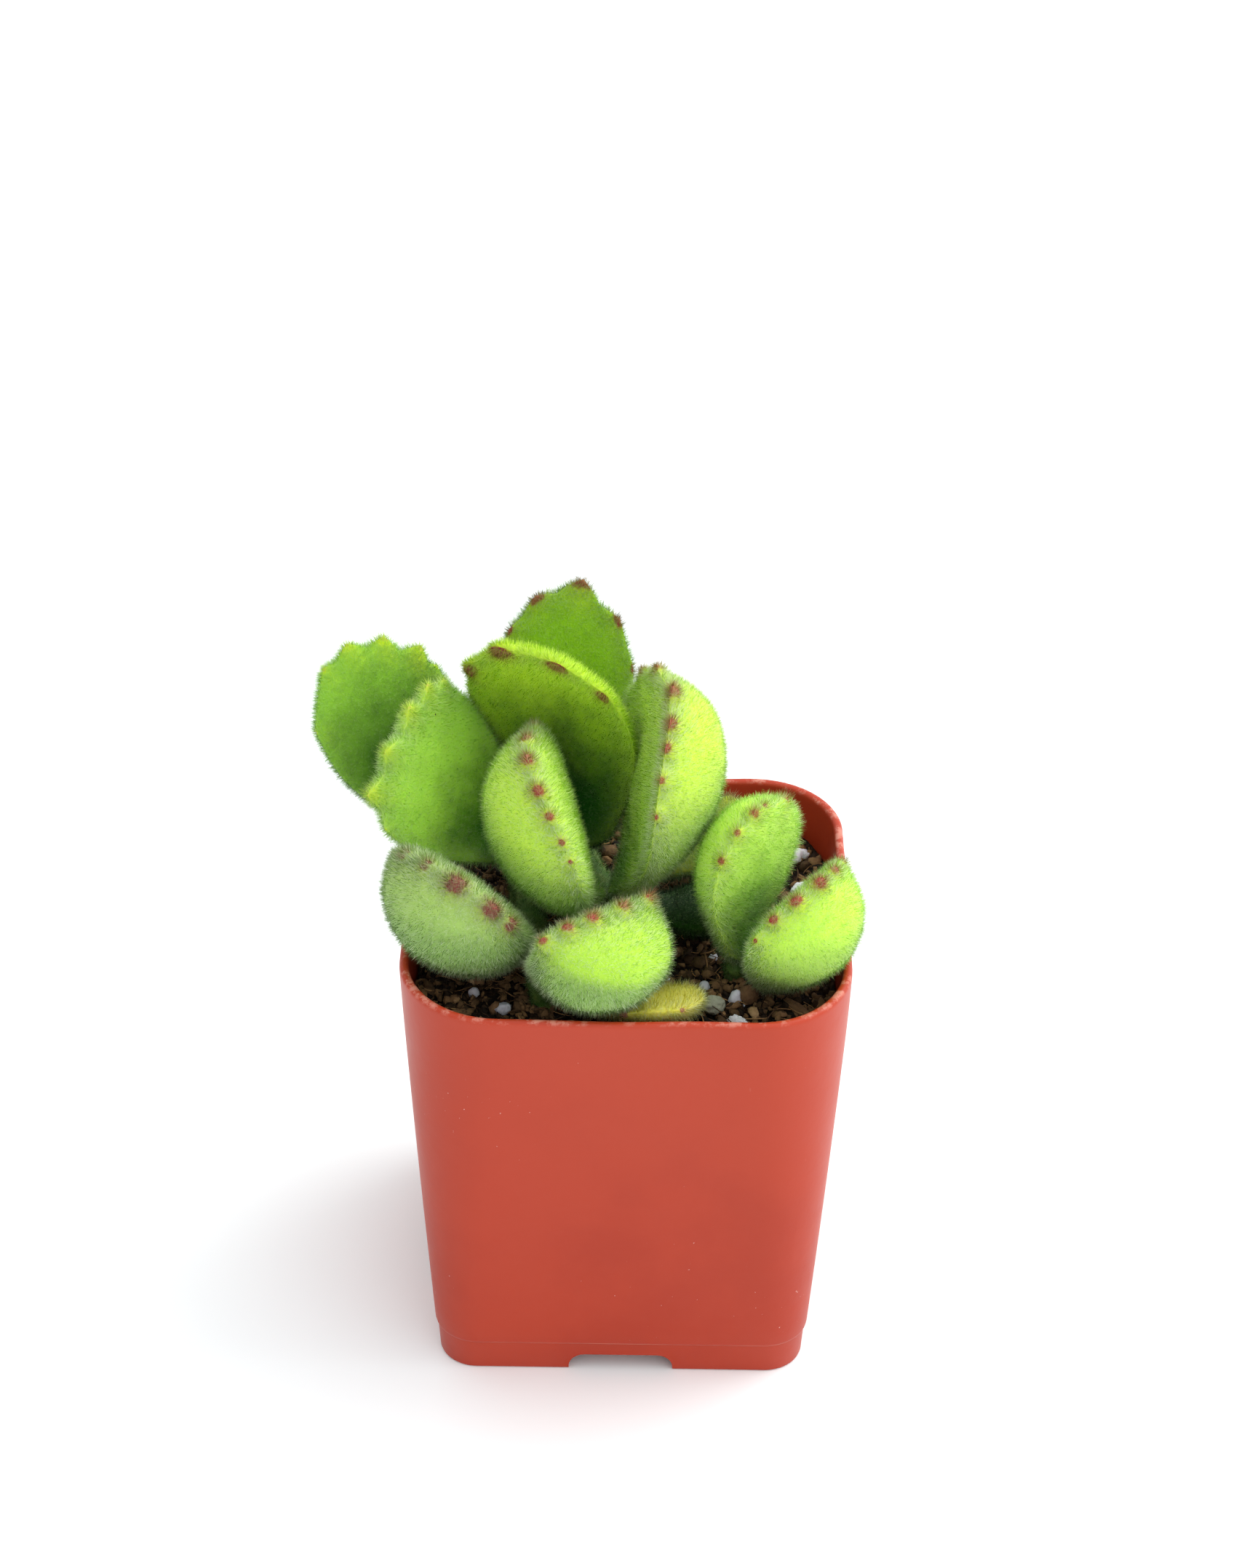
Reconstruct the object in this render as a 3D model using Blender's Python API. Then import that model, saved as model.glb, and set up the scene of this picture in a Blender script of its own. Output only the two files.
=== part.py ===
"""A bears paw succulent in a small square terracotta-coloured plastic pot.

Plump toothed leaves grow from four short shoots that stand in holes in the soil. The design is laid
out around the pot's axis, with the floor at zero, and its parent empty shifts it as a whole.
"""

import math

import bmesh
import bpy
import numpy as np
from mathutils import Vector

MM = 0.001

# The whole design is shifted by this much, so that the origin lies under the middle of its box
SHIFT_X = 5.8
SHIFT_Y = 0.7
GAP = 0.3

# Pot, from its foot to its rim
POT_HEIGHT = 57.0
POT_FOOT_SIDE = 46.0
POT_RIM_SIDE = 54.0
POT_FOOT_RADIUS = 5.0
POT_RIM_RADIUS = 12.0
POT_WALL = 1.1
POT_FLOOR_UNDER = 2.8
POT_FLOOR_TOP = 4.2
POT_STEP_HEIGHT = 4.6
POT_STEP_INSET = 0.25
NOTCH_WIDTH = 13.0
NOTCH_HEIGHT = 2.5
NOTCH_CORNER = 2.0
DRAIN_RADIUS = 1.8
DRAIN_SPREAD = 11.0
CORNER_STEPS = 6
SIDE_STEPS = 4

# Soil
SOIL_LEVEL = 50.5
SOIL_RELIEF = 0.45
SOIL_RINGS = (0.18, 0.4, 0.62, 0.82, 0.94)

# Leaf shape shared by every leaf
NECK = 2.2
WIDEST_AT = 0.62
CAP_SHARE = 0.06
EDGE_FULLNESS = 0.85
TOOTH_WIDTH = 2.4
MARGIN_POINTS = 36
LEAF_SEGMENTS = 10

# Where the shoots stand: foot in plan, crown, and the radii of the trunk and of its stalks
SHOOTS = {
    "main_shoot": dict(foot=(-3.2, 3.2), crown=(-3.0, 3.4, 54.0), radius=2.8, stalk=1.7),
    "left_shoot": dict(foot=(-12.6, 4.0), crown=(-12.4, 4.2, 55.0), radius=2.3, stalk=1.7),
    "right_shoot": dict(foot=(13.5, -8.3), crown=(13.5, -8.3, 51.9), radius=1.9, stalk=1.3),
    "front_shoot": dict(foot=(-9.7, -14.6), crown=(-9.7, -14.6, 52.4), radius=1.9, stalk=1.7),
}
SHOOT_DEPTH = 9.0
SHOOT_SIDES = 10

# Leaves. base is the foot of the leaf. turn is its compass direction, from +Y towards +X. rise is its
# slope and roll its twist about its own line. back and front are how far each face swells. bend is the
# angle in radians that the line turns through towards the upper face, and cup lifts the edges. teeth
# are places along the margin: 0 is the tip, 1 and -1 are the base down the right and left edges. The
# stalk reaches the foot along the leaf's own slope unless stalk_rise gives it another.
LEAVES = {
    "leaf_left_back": dict(
        shoot="left_shoot", colour="leaf_dark", base=(-16.4, 6.9, 59.8), turn=-64, rise=39, roll=36,
        length=29.2, width=17.6, back=4.3, front=1.3, bend=0.24, cup=0.59, tooth=1.5,
        teeth=(-0.28, -0.16, -0.05, 0.06, 0.17, 0.28, 0.38, 0.48)),
    "leaf_left_front": dict(
        shoot="left_shoot", colour="leaf_mid", base=(-12.6, 3.6, 60.0), turn=-76, rise=33, roll=28,
        length=24.8, width=20.4, back=2.9, front=0.9, bend=0.95, cup=-0.94, tooth=1.4,
        teeth=(-0.38, -0.26, -0.14, 0.0, 0.11, 0.22, 0.33)),
    "leaf_centre": dict(
        shoot="main_shoot", colour="leaf_mid", base=(-5.6, 5.7, 59.5), turn=-4, rise=72, roll=37,
        length=31.5, width=21.0, back=3.6, front=0.7, bend=0.93, cup=0.86, tooth=1.3,
        teeth=(-0.4, -0.27, -0.14, -0.03, 0.14, 0.3, 0.42)),
    "leaf_top": dict(
        shoot="main_shoot", colour="leaf_mid", base=(-6.7, 10.8, 59.5), turn=-12, rise=65, roll=-4,
        length=29.2, width=16.6, back=3.4, front=0.5, bend=0.21, cup=0.87, tooth=2.4,
        teeth=(-0.38, -0.22, -0.09, 0.07, 0.22, 0.4)),
    "leaf_right_tall": dict(
        shoot="main_shoot", colour="leaf_lime", base=(-0.3, -2.4, 58.3), turn=77, rise=80, roll=4,
        length=28.9, width=23.8, back=8.5, front=0.6, bend=0.01, cup=2.35, tooth=1.0,
        teeth=(-0.24, -0.12, -0.02, 0.07, 0.16, 0.24, 0.33, 0.42)),
    "leaf_front_tall": dict(
        shoot="main_shoot", colour="leaf_lime", base=(-4.6, -1.4, 56.6), turn=-128, rise=63, roll=29,
        length=26.0, width=24.2, back=7.4, front=3.2, bend=0.18, cup=2.55, tooth=0.9,
        teeth=(-0.34, -0.22, -0.11, 0.0, 0.12, 0.32, 0.5, 0.7)),
    "leaf_right": dict(
        shoot="right_shoot", colour="leaf_lime", base=(13.3, -9.6, 54.4), turn=48, rise=81, roll=-101,
        length=20.8, width=16.4, back=6.3, front=1.4, bend=0.09, cup=0.09, tooth=0.9,
        teeth=(-0.33, -0.21, -0.1, -0.01, 0.15, 0.3)),
    "leaf_far_right": dict(
        shoot="right_shoot", colour="leaf_lime", base=(17.1, -10.8, 51.7), turn=135, rise=69, roll=-8,
        length=19.4, width=17.0, back=7.3, front=1.9, bend=-0.07, cup=1.39, tooth=0.9,
        stalk_rise=14,
        teeth=(-0.25, -0.09, 0.03, 0.16, 0.27, 0.38)),
    "leaf_left_low": dict(
        shoot="left_shoot", colour="leaf_mid", base=(-13.1, -4.7, 53.4), turn=-140, rise=40, roll=3,
        length=23.5, width=19.5, back=8.3, front=2.5, bend=0.32, cup=0.37, tooth=0.9, stalk_rise=8,
        teeth=(-0.37, -0.26, -0.12, 0.02, 0.15, 0.28, 0.42)),
    "leaf_front_low": dict(
        shoot="front_shoot", colour="leaf_lime", base=(-10.4, -14.7, 57.7), turn=130, rise=13, roll=11,
        length=14.9, width=18.8, back=9.0, front=1.9, bend=1.1, cup=1.42, tooth=0.9, widest=0.78,
        stalk_rise=80,
        teeth=(-0.27, -0.16, -0.05, 0.12, 0.26, 0.37)),
    "leaf_yellow": dict(
        shoot=None, colour="leaf_yellow", base=(-3.4, -17.5, 52.4), turn=104, rise=20, roll=17,
        length=13.1, width=10.3, back=2.4, front=0.7, bend=-0.21, cup=0.35, tooth=0.5,
        teeth=(-0.5, -0.15, 0.15, 0.5)),
    "leaf_shaded": dict(
        shoot="main_shoot", colour="leaf_dark", base=(3.0, 0.1, 54.2), turn=94, rise=6, roll=0,
        length=11.6, width=11.0, back=3.2, front=1.0, bend=0.3, cup=0.4, tooth=0.8,
        teeth=(-0.3, -0.1, 0.1, 0.3)),
    "leaf_right_back": dict(
        shoot="main_shoot", colour="leaf_yellow", base=(2.5, 8.0, 55.0), turn=62, rise=14, roll=0,
        length=14.0, width=12.0, back=3.2, front=1.1, bend=0.3, cup=0.5, tooth=0.8,
        teeth=(-0.3, -0.1, 0.1, 0.3)),
    "leaf_back": dict(
        shoot="left_shoot", colour="leaf_dark", base=(-12.4, 9.8, 54.9), turn=-12, rise=30, roll=0,
        length=16.0, width=12.5, back=3.2, front=1.1, bend=0.3, cup=0.5, tooth=0.8,
        teeth=(-0.3, -0.15, 0.0, 0.15, 0.3)),
}

# Loose grains that lie on the soil: middle, half sizes, turn about the vertical, colour
GRAINS = {
    "perlite_left": dict(at=(-17.4, -21.3), size=(1.5, 1.1, 0.9), turn=20, colour="perlite"),
    "perlite_front": dict(at=(-12.4, -23.0), size=(0.9, 0.7, 0.6), turn=70, colour="perlite"),
    "perlite_right": dict(at=(13.2, -18.6), size=(1.3, 0.8, 0.8), turn=-30, colour="perlite"),
    "perlite_corner": dict(at=(16.5, -22.0), size=(0.9, 0.8, 0.7), turn=10, colour="perlite"),
    "perlite_back": dict(at=(21.6, 9.0), size=(1.2, 0.9, 0.8), turn=40, colour="perlite"),
    "stone": dict(at=(10.4, -16.2), size=(1.4, 1.3, 1.0), turn=0, colour="stone"),
    "bark_left": dict(at=(-21.2, -19.0), size=(2.6, 0.8, 0.6), turn=35, colour="bark"),
    "bark_front": dict(at=(20.6, -15.6), size=(2.4, 0.7, 0.5), turn=-50, colour="bark"),
    "bark_back": dict(at=(19.0, 2.6), size=(2.8, 1.0, 0.7), turn=75, colour="bark"),
}

# Colour, roughness and metallic value of each material
LOOKS = {
    "pot": ((0.53, 0.075, 0.042), 0.42, 0.0),
    "soil": ((0.022, 0.012, 0.008), 0.95, 0.0),
    "stem": ((0.16, 0.30, 0.05), 0.8, 0.0),
    "leaf_dark": ((0.075, 0.23, 0.022), 0.75, 0.0),
    "leaf_mid": ((0.19, 0.42, 0.06), 0.75, 0.0),
    "leaf_lime": ((0.42, 0.70, 0.10), 0.75, 0.0),
    "leaf_yellow": ((0.62, 0.56, 0.13), 0.75, 0.0),
    "perlite": ((0.74, 0.77, 0.83), 0.85, 0.0),
    "bark": ((0.17, 0.075, 0.032), 0.9, 0.0),
    "stone": ((0.26, 0.27, 0.23), 0.8, 0.0),
}


def clear_scene():
    for obj in list(bpy.data.objects):
        bpy.data.objects.remove(obj, do_unlink=True)


def new_collection(name):
    collection = bpy.data.collections.new(name)
    bpy.context.scene.collection.children.link(collection)
    return collection


def make_material(name):
    colour, roughness, metallic = LOOKS[name]
    material = bpy.data.materials.new(name)
    material.use_nodes = True
    shader = material.node_tree.nodes["Principled BSDF"]
    shader.inputs["Base Color"].default_value = (*colour, 1.0)
    shader.inputs["Roughness"].default_value = roughness
    shader.inputs["Metallic"].default_value = metallic
    material.diffuse_color = (*colour, 1.0)
    return material


def finish_mesh(name, shape, collection, look=None, sharp_angle=40):
    """Turns a bmesh in millimetres into an object in metres."""
    bmesh.ops.scale(shape, vec=(MM, MM, MM), verts=shape.verts)
    bmesh.ops.recalc_face_normals(shape, faces=shape.faces)
    mesh = bpy.data.meshes.new(name)
    shape.to_mesh(mesh)
    shape.free()
    mesh.shade_smooth()
    mesh.set_sharp_from_angle(angle=math.radians(sharp_angle))
    obj = bpy.data.objects.new(name, mesh)
    collection.objects.link(obj)
    if look:
        mesh.materials.append(bpy.data.materials[look])
    return obj


def apply_modifiers(obj):
    """Replaces the object's mesh with its evaluated one and drops the modifiers."""
    graph = bpy.context.evaluated_depsgraph_get()
    mesh = bpy.data.meshes.new_from_object(obj.evaluated_get(graph))
    obj.modifiers.clear()
    obj.data = mesh


# Rounded squares, lofted into the pot and the soil
def square_ring(half_side, radius, z):
    """Points of a rounded square at one height, anticlockwise from the middle of the +X side."""
    points = []
    straight = half_side - radius
    for quarter in range(4):
        turn = math.radians(90 * quarter)
        local = [(half_side, straight * step / SIDE_STEPS * 2 - straight) for step in range(SIDE_STEPS)]
        for step in range(CORNER_STEPS):
            angle = math.radians(90) * step / CORNER_STEPS
            local.append((straight + radius * math.cos(angle), straight + radius * math.sin(angle)))
        for x, y in local:
            points.append((
                x * math.cos(turn) - y * math.sin(turn),
                x * math.sin(turn) + y * math.cos(turn),
                z))
    return points


def loft(rings):
    """A closed solid through rings of equal length, capped at both ends."""
    shape = bmesh.new()
    loops = [[shape.verts.new(point) for point in ring] for ring in rings]
    for lower, upper in zip(loops, loops[1:]):
        for i in range(len(lower)):
            j = (i + 1) % len(lower)
            shape.faces.new((lower[i], lower[j], upper[j], upper[i]))
    for loop in (loops[0], loops[-1]):
        middle = shape.verts.new(sum((vert.co for vert in loop), Vector()) / len(loop))
        for i in range(len(loop)):
            shape.faces.new((loop[i], loop[(i + 1) % len(loop)], middle))
    return shape


def pot_half_side(z):
    return (POT_FOOT_SIDE + (POT_RIM_SIDE - POT_FOOT_SIDE) * z / POT_HEIGHT) / 2


def pot_radius(z):
    return POT_FOOT_RADIUS + (POT_RIM_RADIUS - POT_FOOT_RADIUS) * z / POT_HEIGHT


def pot_ring(z, inset=0.0):
    return square_ring(pot_half_side(z) - inset, pot_radius(z) - inset * 0.8, z)


def pot_shape():
    round_rim = POT_WALL * 0.3
    heights_out = (0.0, POT_STEP_HEIGHT - 0.3)
    rings = [pot_ring(POT_FLOOR_UNDER, POT_WALL + POT_STEP_INSET)]
    rings.append(pot_ring(0.0, POT_WALL + POT_STEP_INSET))
    rings += [pot_ring(z, POT_STEP_INSET) for z in heights_out]
    rings.append(pot_ring(POT_STEP_HEIGHT))
    rings.append(pot_ring(POT_HEIGHT / 2))
    rings.append(pot_ring(POT_HEIGHT - round_rim))
    rings.append(pot_ring(POT_HEIGHT, round_rim))
    rings.append(pot_ring(POT_HEIGHT, POT_WALL - round_rim))
    rings.append(pot_ring(POT_HEIGHT - round_rim, POT_WALL))
    rings.append(pot_ring(POT_FLOOR_TOP + 1.0, POT_WALL))
    rings.append(pot_ring(POT_FLOOR_TOP, POT_WALL + 1.0))
    return loft(rings)


def add_cut(obj, cutter):
    cut = obj.modifiers.new(cutter.name, "BOOLEAN")
    cut.operation = "DIFFERENCE"
    cut.object = cutter


def mark_cutter(cutter):
    cutter.hide_render = True
    cutter.display_type = "WIRE"


def make_notch_cutter(name, side, cutters):
    """A box with rounded upper edges that opens the foot in the middle of one side."""
    depth = 8.0
    shape = bmesh.new()
    bmesh.ops.create_cube(shape, size=1.0)
    bmesh.ops.scale(shape, vec=(depth, NOTCH_WIDTH, NOTCH_HEIGHT * 2), verts=shape.verts)
    long_edges = [
        edge for edge in shape.edges
        if abs(edge.verts[0].co.x - edge.verts[1].co.x) > depth / 2
    ]
    bmesh.ops.bevel(shape, geom=long_edges, offset=NOTCH_CORNER, segments=3, affect="EDGES", profile=0.5)
    cutter = finish_mesh(name, shape, cutters)
    angle = math.radians(90 * side)
    reach = POT_FOOT_SIDE / 2 * MM
    cutter.location = (reach * math.cos(angle), reach * math.sin(angle), 0.0)
    cutter.rotation_euler = (0.0, 0.0, angle)
    mark_cutter(cutter)
    return cutter


def make_rod_cutter(name, x, y, radius, z_low, z_high, cutters, sides=12):
    shape = bmesh.new()
    bmesh.ops.create_cone(
        shape, cap_ends=True, segments=sides, radius1=radius, radius2=radius, depth=z_high - z_low)
    cutter = finish_mesh(name, shape, cutters)
    cutter.location = (x * MM, y * MM, (z_low + z_high) / 2 * MM)
    mark_cutter(cutter)
    return cutter


def make_pot(parts, cutters):
    pot = finish_mesh("pot", pot_shape(), parts, "pot", sharp_angle=30)
    for side in range(4):
        add_cut(pot, make_notch_cutter(f"notch_{side + 1}", side, cutters))
    for number, (x, y) in enumerate(((1, 1), (-1, 1), (-1, -1), (1, -1)), 1):
        place = (x * DRAIN_SPREAD, y * DRAIN_SPREAD)
        add_cut(pot, make_rod_cutter(f"drain_{number}", *place, DRAIN_RADIUS, 1.0, 6.0, cutters))
    return pot


# Soil
def soil_height(x, y):
    """Height of the soil's uneven surface over one place, without the crumbs."""
    slow = math.sin(0.31 * x + 0.8) * math.cos(0.27 * y - 0.4)
    quick = math.sin(0.83 * x - 0.57 * y + 1.9)
    return SOIL_LEVEL + SOIL_RELIEF * (0.6 * slow + 0.4 * quick)


def soil_ring(share):
    inset = POT_WALL + GAP
    ring = pot_ring(SOIL_LEVEL, inset)
    return [(x * share, y * share, soil_height(x * share, y * share)) for x, y, _ in ring]


def make_soil(parts, cutters):
    inset = POT_WALL + GAP
    low = POT_FLOOR_TOP + GAP
    rings = [pot_ring(low, inset + 1.2), pot_ring(low + 1.2, inset)]
    rings.append([(x, y, z - 0.6) for x, y, z in soil_ring(1.0)])
    rings += [soil_ring(share) for share in reversed(SOIL_RINGS)]
    soil = finish_mesh("soil", loft(rings), parts, "soil", sharp_angle=50)
    for name, shoot in SHOOTS.items():
        bottom = SOIL_LEVEL - SHOOT_DEPTH - GAP
        hole = make_rod_cutter(
            f"hole_{name}", *shoot["foot"], shoot["radius"] + GAP, bottom, SOIL_LEVEL + 6, cutters, 14)
        add_cut(soil, hole)
    return soil


# Leaves
def leaf_half_width(leaf, share):
    """Half the leaf's width at a share of its length, rounded at both ends."""
    widest = leaf.get("widest", WIDEST_AT)
    half = leaf["width"] / 2
    if share < widest:
        grown = math.sin(math.pi / 2 * max(share, 0.0) / widest) ** 1.3
        width = NECK + (half - NECK) * grown
    else:
        past = (min(share, 1.0) - widest) / (1 - widest)
        width = half * math.sqrt(max(1 - past * past, 0.0))
    if share < CAP_SHARE:
        width *= math.sqrt(max(1 - (1 - share / CAP_SHARE) ** 2, 0.0))
    return width


def leaf_margin(leaf, steps=240):
    """Places from -1 (base, left) through 0 (tip) to 1 (base, right), and the outline's points there."""
    shares = (1 - np.cos(np.linspace(0, math.pi, steps))) / 2
    widths = np.array([leaf_half_width(leaf, share) for share in shares])
    left = np.stack([-widths, shares * leaf["length"]], axis=1)
    right = left[::-1][1:] * (-1, 1)
    path = np.vstack([left, right])
    runs = np.linalg.norm(np.diff(path, axis=0), axis=1)
    along = np.concatenate([[0.0], np.cumsum(runs)])
    places = along / along[-1] * 2 - 1
    return places, path, along[-1] / 2


def margin_point(margin, place):
    places, path, _ = margin
    place = (place + 1) % 2 - 1
    return Vector((np.interp(place, places, path[:, 0]), np.interp(place, places, path[:, 1])))


def margin_stations(leaf, margin):
    """Places for the mesh's points: every tooth's peak and foot, and the widest gaps halved."""
    half_tooth = TOOTH_WIDTH / 2 / margin[2]
    stations = {-1.0}
    for tooth in leaf["teeth"]:
        stations |= {tooth - half_tooth, tooth, tooth + half_tooth}
    stations = sorted(stations)
    while len(stations) < MARGIN_POINTS:
        gaps = [(b - a, a, b) for a, b in zip(stations, stations[1:] + [stations[0] + 2])]
        _, start, end = max(gaps)
        stations = sorted(stations + [(start + end) / 2])
    return stations


def tooth_reach(leaf, margin, place):
    """How far the teeth push the margin outward at a place along it."""
    half_tooth = TOOTH_WIDTH / 2 / margin[2]
    nearest = min(abs(place - tooth) for tooth in leaf["teeth"])
    return leaf["tooth"] * max(0.0, 1 - nearest / half_tooth)


def leaf_thickness(leaf, x, y):
    """Heights of the upper and the lower face over a place in the leaf's outline."""
    share = min(max(y / leaf["length"], 0.0), 1.0)
    width = max(leaf_half_width(leaf, share), 1e-6)
    across = math.sqrt(max(1 - (x / width) ** 2, 0.0))
    full = (width / (leaf["width"] / 2)) ** EDGE_FULLNESS
    front = leaf["front"] * full
    front += max(NECK - front, 0.0) * max(1 - share / 0.25, 0.0)
    return front * across, -leaf["back"] * full * across


def bent(leaf, x, y, z):
    """Bends the flat leaf along its line and cups it across."""
    cupped = z + leaf["cup"] * (x / (leaf["width"] / 2)) ** 2 * min(max(y / leaf["length"], 0.0), 1.0)
    curve = leaf["bend"] / leaf["length"]
    angle = curve * y
    return Vector((
        x,
        math.sin(angle) / curve - math.sin(angle) * cupped,
        (1 - math.cos(angle)) / curve + math.cos(angle) * cupped))


def shape_leaf_point(leaf, margin, station, ball_point):
    """Moves one point of a unit ball onto the leaf. The ball's equator becomes the margin."""
    middle = Vector((0.0, leaf["length"] / 2))
    edge = margin_point(margin, station)
    spread = min(math.hypot(ball_point.x, ball_point.y), 1.0)
    ahead = margin_point(margin, station + 0.01)
    behind = margin_point(margin, station - 0.01)
    along = (ahead - behind).normalized()
    outward = Vector((-along.y, along.x))
    flat = middle + (edge - middle) * spread
    upper, lower = leaf_thickness(leaf, flat.x, flat.y)
    height = 0.0 if abs(ball_point.z) < 1e-4 else (upper if ball_point.z > 0 else lower)
    flat += outward * tooth_reach(leaf, margin, station) * spread ** 8
    return bent(leaf, flat.x, flat.y, height)


def direction(turn, rise):
    turn = math.radians(turn)
    rise = math.radians(rise)
    return Vector((
        math.cos(rise) * math.sin(turn), math.cos(rise) * math.cos(turn), math.sin(rise)))


def stalk_end(leaf, stalk_radius):
    """Middle of the ball that ends a leaf's stalk, just clear of the leaf's round foot."""
    line = direction(leaf["turn"], leaf["rise"])
    cap = leaf["length"] * CAP_SHARE
    foot_middle = Vector(leaf["base"]) + line * cap
    reach = direction(leaf["turn"], leaf.get("stalk_rise", leaf["rise"]))
    along = reach.dot(line)
    foot_radius = math.hypot(cap * along, NECK * 1.05 * math.sqrt(max(1 - along * along, 0.0)))
    return foot_middle - reach * (foot_radius + GAP + stalk_radius)


def make_leaf(name, leaf, parts):
    margin = leaf_margin(leaf)
    stations = margin_stations(leaf, margin)
    shape = bmesh.new()
    bmesh.ops.create_uvsphere(
        shape, u_segments=MARGIN_POINTS, v_segments=LEAF_SEGMENTS, radius=1.0)
    for vert in shape.verts:
        around = math.atan2(vert.co.y, vert.co.x) / (2 * math.pi) * MARGIN_POINTS
        station = stations[round(around) % MARGIN_POINTS]
        vert.co = shape_leaf_point(leaf, margin, station, vert.co.copy())
    obj = finish_mesh(name, shape, parts, leaf["colour"], sharp_angle=75)
    obj.rotation_mode = "YXZ"
    obj.rotation_euler = (
        math.radians(leaf["rise"]), math.radians(-leaf["roll"]), math.radians(-leaf["turn"]))
    obj.location = Vector(leaf["base"]) * MM
    return obj


# Shoots, each a trunk and a short stalk to the foot of every leaf that it carries
def add_limb(shape, start, end, start_radius, end_radius):
    """A round-ended tapered limb between two points."""
    run = Vector(end) - Vector(start)
    limb = bmesh.new()
    bmesh.ops.create_cone(
        limb, cap_ends=True, segments=SHOOT_SIDES, radius1=start_radius, radius2=end_radius,
        depth=run.length)
    bmesh.ops.rotate(limb, matrix=run.to_track_quat("Z", "Y").to_matrix(), verts=limb.verts)
    bmesh.ops.translate(limb, vec=(Vector(start) + Vector(end)) / 2, verts=limb.verts)
    return finish_mesh("limb", limb, shape)


def add_ball(shape, middle, radius):
    ball = bmesh.new()
    bmesh.ops.create_icosphere(ball, subdivisions=2, radius=radius)
    bmesh.ops.translate(ball, vec=middle, verts=ball.verts)
    return finish_mesh("ball", ball, shape)


def make_shoot(name, shoot, parts):
    pieces = new_collection("shoot_pieces")
    foot = Vector((*shoot["foot"], SOIL_LEVEL - SHOOT_DEPTH))
    crown = Vector(shoot["crown"])
    radius = shoot["radius"]
    stalk_radius = shoot["stalk"]
    for leaf in (leaf for leaf in LEAVES.values() if leaf["shoot"] == name):
        end = stalk_end(leaf, stalk_radius)
        add_limb(pieces, crown, end, stalk_radius * 1.1, stalk_radius * 0.97)
        add_ball(pieces, end, stalk_radius)
    add_ball(pieces, crown, radius * 1.02)
    trunk = add_limb(pieces, foot, crown, radius, radius * 0.95)
    pieces.objects.unlink(trunk)
    parts.objects.link(trunk)
    trunk.name = name
    trunk.data.name = name
    trunk.data.materials.append(bpy.data.materials["stem"])
    union = trunk.modifiers.new("union", "BOOLEAN")
    union.operation = "UNION"
    union.operand_type = "COLLECTION"
    union.collection = pieces
    union.solver = "EXACT"
    apply_modifiers(trunk)
    for piece in list(pieces.objects):
        bpy.data.objects.remove(piece, do_unlink=True)
    bpy.data.collections.remove(pieces)
    return trunk


# Loose grains on the soil
def make_grain(name, number, grain, parts):
    """A lumpy stone: an icosphere whose points are pushed in or out by a small wave."""
    shape = bmesh.new()
    bmesh.ops.create_icosphere(shape, subdivisions=2, radius=1.0)
    half = Vector(grain["size"])
    for vert in shape.verts:
        wave = math.sin(3.1 * vert.co.x + number) * math.cos(2.7 * vert.co.y - 2 * number)
        vert.co = vert.co * half * (1 + 0.14 * wave)
    lowest = min(vert.co.z for vert in shape.verts)
    obj = finish_mesh(name, shape, parts, grain["colour"], sharp_angle=35)
    x, y = grain["at"]
    reach = max(half.x, half.y)
    around = [
        soil_height(x + reach * math.cos(angle), y + reach * math.sin(angle))
        for angle in np.linspace(0, 2 * math.pi, 8, endpoint=False)
    ]
    floor = (max(around) + soil_height(x, y)) / 2
    obj.location = Vector((x, y, floor + GAP - lowest)) * MM
    obj.rotation_euler = (0.0, 0.0, math.radians(grain["turn"]))
    return obj


def main():
    clear_scene()
    for name in LOOKS:
        make_material(name)
    parts = new_collection("bears_paw_succulent")
    cutters = new_collection("cutters")
    stand = bpy.data.objects.new("stand", None)
    parts.objects.link(stand)
    make_pot(parts, cutters)
    make_soil(parts, cutters)
    for name, shoot in SHOOTS.items():
        make_shoot(name, shoot, parts)
    for name, leaf in LEAVES.items():
        make_leaf(name, leaf, parts)
    for number, (name, grain) in enumerate(GRAINS.items()):
        make_grain(name, number, grain, parts)
    for obj in list(parts.objects) + list(cutters.objects):
        if obj is not stand:
            obj.parent = stand
    stand.location = (SHIFT_X * MM, SHIFT_Y * MM, 0.0)


main()
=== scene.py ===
import math

import bmesh
import bpy
import numpy as np
from mathutils import Matrix, Vector, noise


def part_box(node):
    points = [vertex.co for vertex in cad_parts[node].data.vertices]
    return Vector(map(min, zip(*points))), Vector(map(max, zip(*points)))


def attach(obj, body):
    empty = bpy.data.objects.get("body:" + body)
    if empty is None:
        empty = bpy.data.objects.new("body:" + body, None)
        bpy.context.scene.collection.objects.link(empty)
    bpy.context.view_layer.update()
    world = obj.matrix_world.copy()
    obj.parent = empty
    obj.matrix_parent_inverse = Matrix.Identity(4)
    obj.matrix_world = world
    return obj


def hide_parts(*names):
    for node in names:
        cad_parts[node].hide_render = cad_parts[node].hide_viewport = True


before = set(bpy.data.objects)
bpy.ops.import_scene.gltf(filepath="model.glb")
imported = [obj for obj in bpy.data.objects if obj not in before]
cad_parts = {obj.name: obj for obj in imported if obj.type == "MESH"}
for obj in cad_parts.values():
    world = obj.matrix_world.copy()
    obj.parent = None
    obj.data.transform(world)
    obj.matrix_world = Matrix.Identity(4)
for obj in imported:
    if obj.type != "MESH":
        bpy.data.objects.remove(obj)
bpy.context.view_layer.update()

mm = 0.001
potLow, potHigh = (np.array(corner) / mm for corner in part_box("pot"))
shift = np.array([(potLow[0] + potHigh[0]) / 2, (potLow[1] + potHigh[1]) / 2, 0.0])
print("frame loaded, pot axis at", shift.round(2).tolist())  # every design value is in mm round this axis


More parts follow.
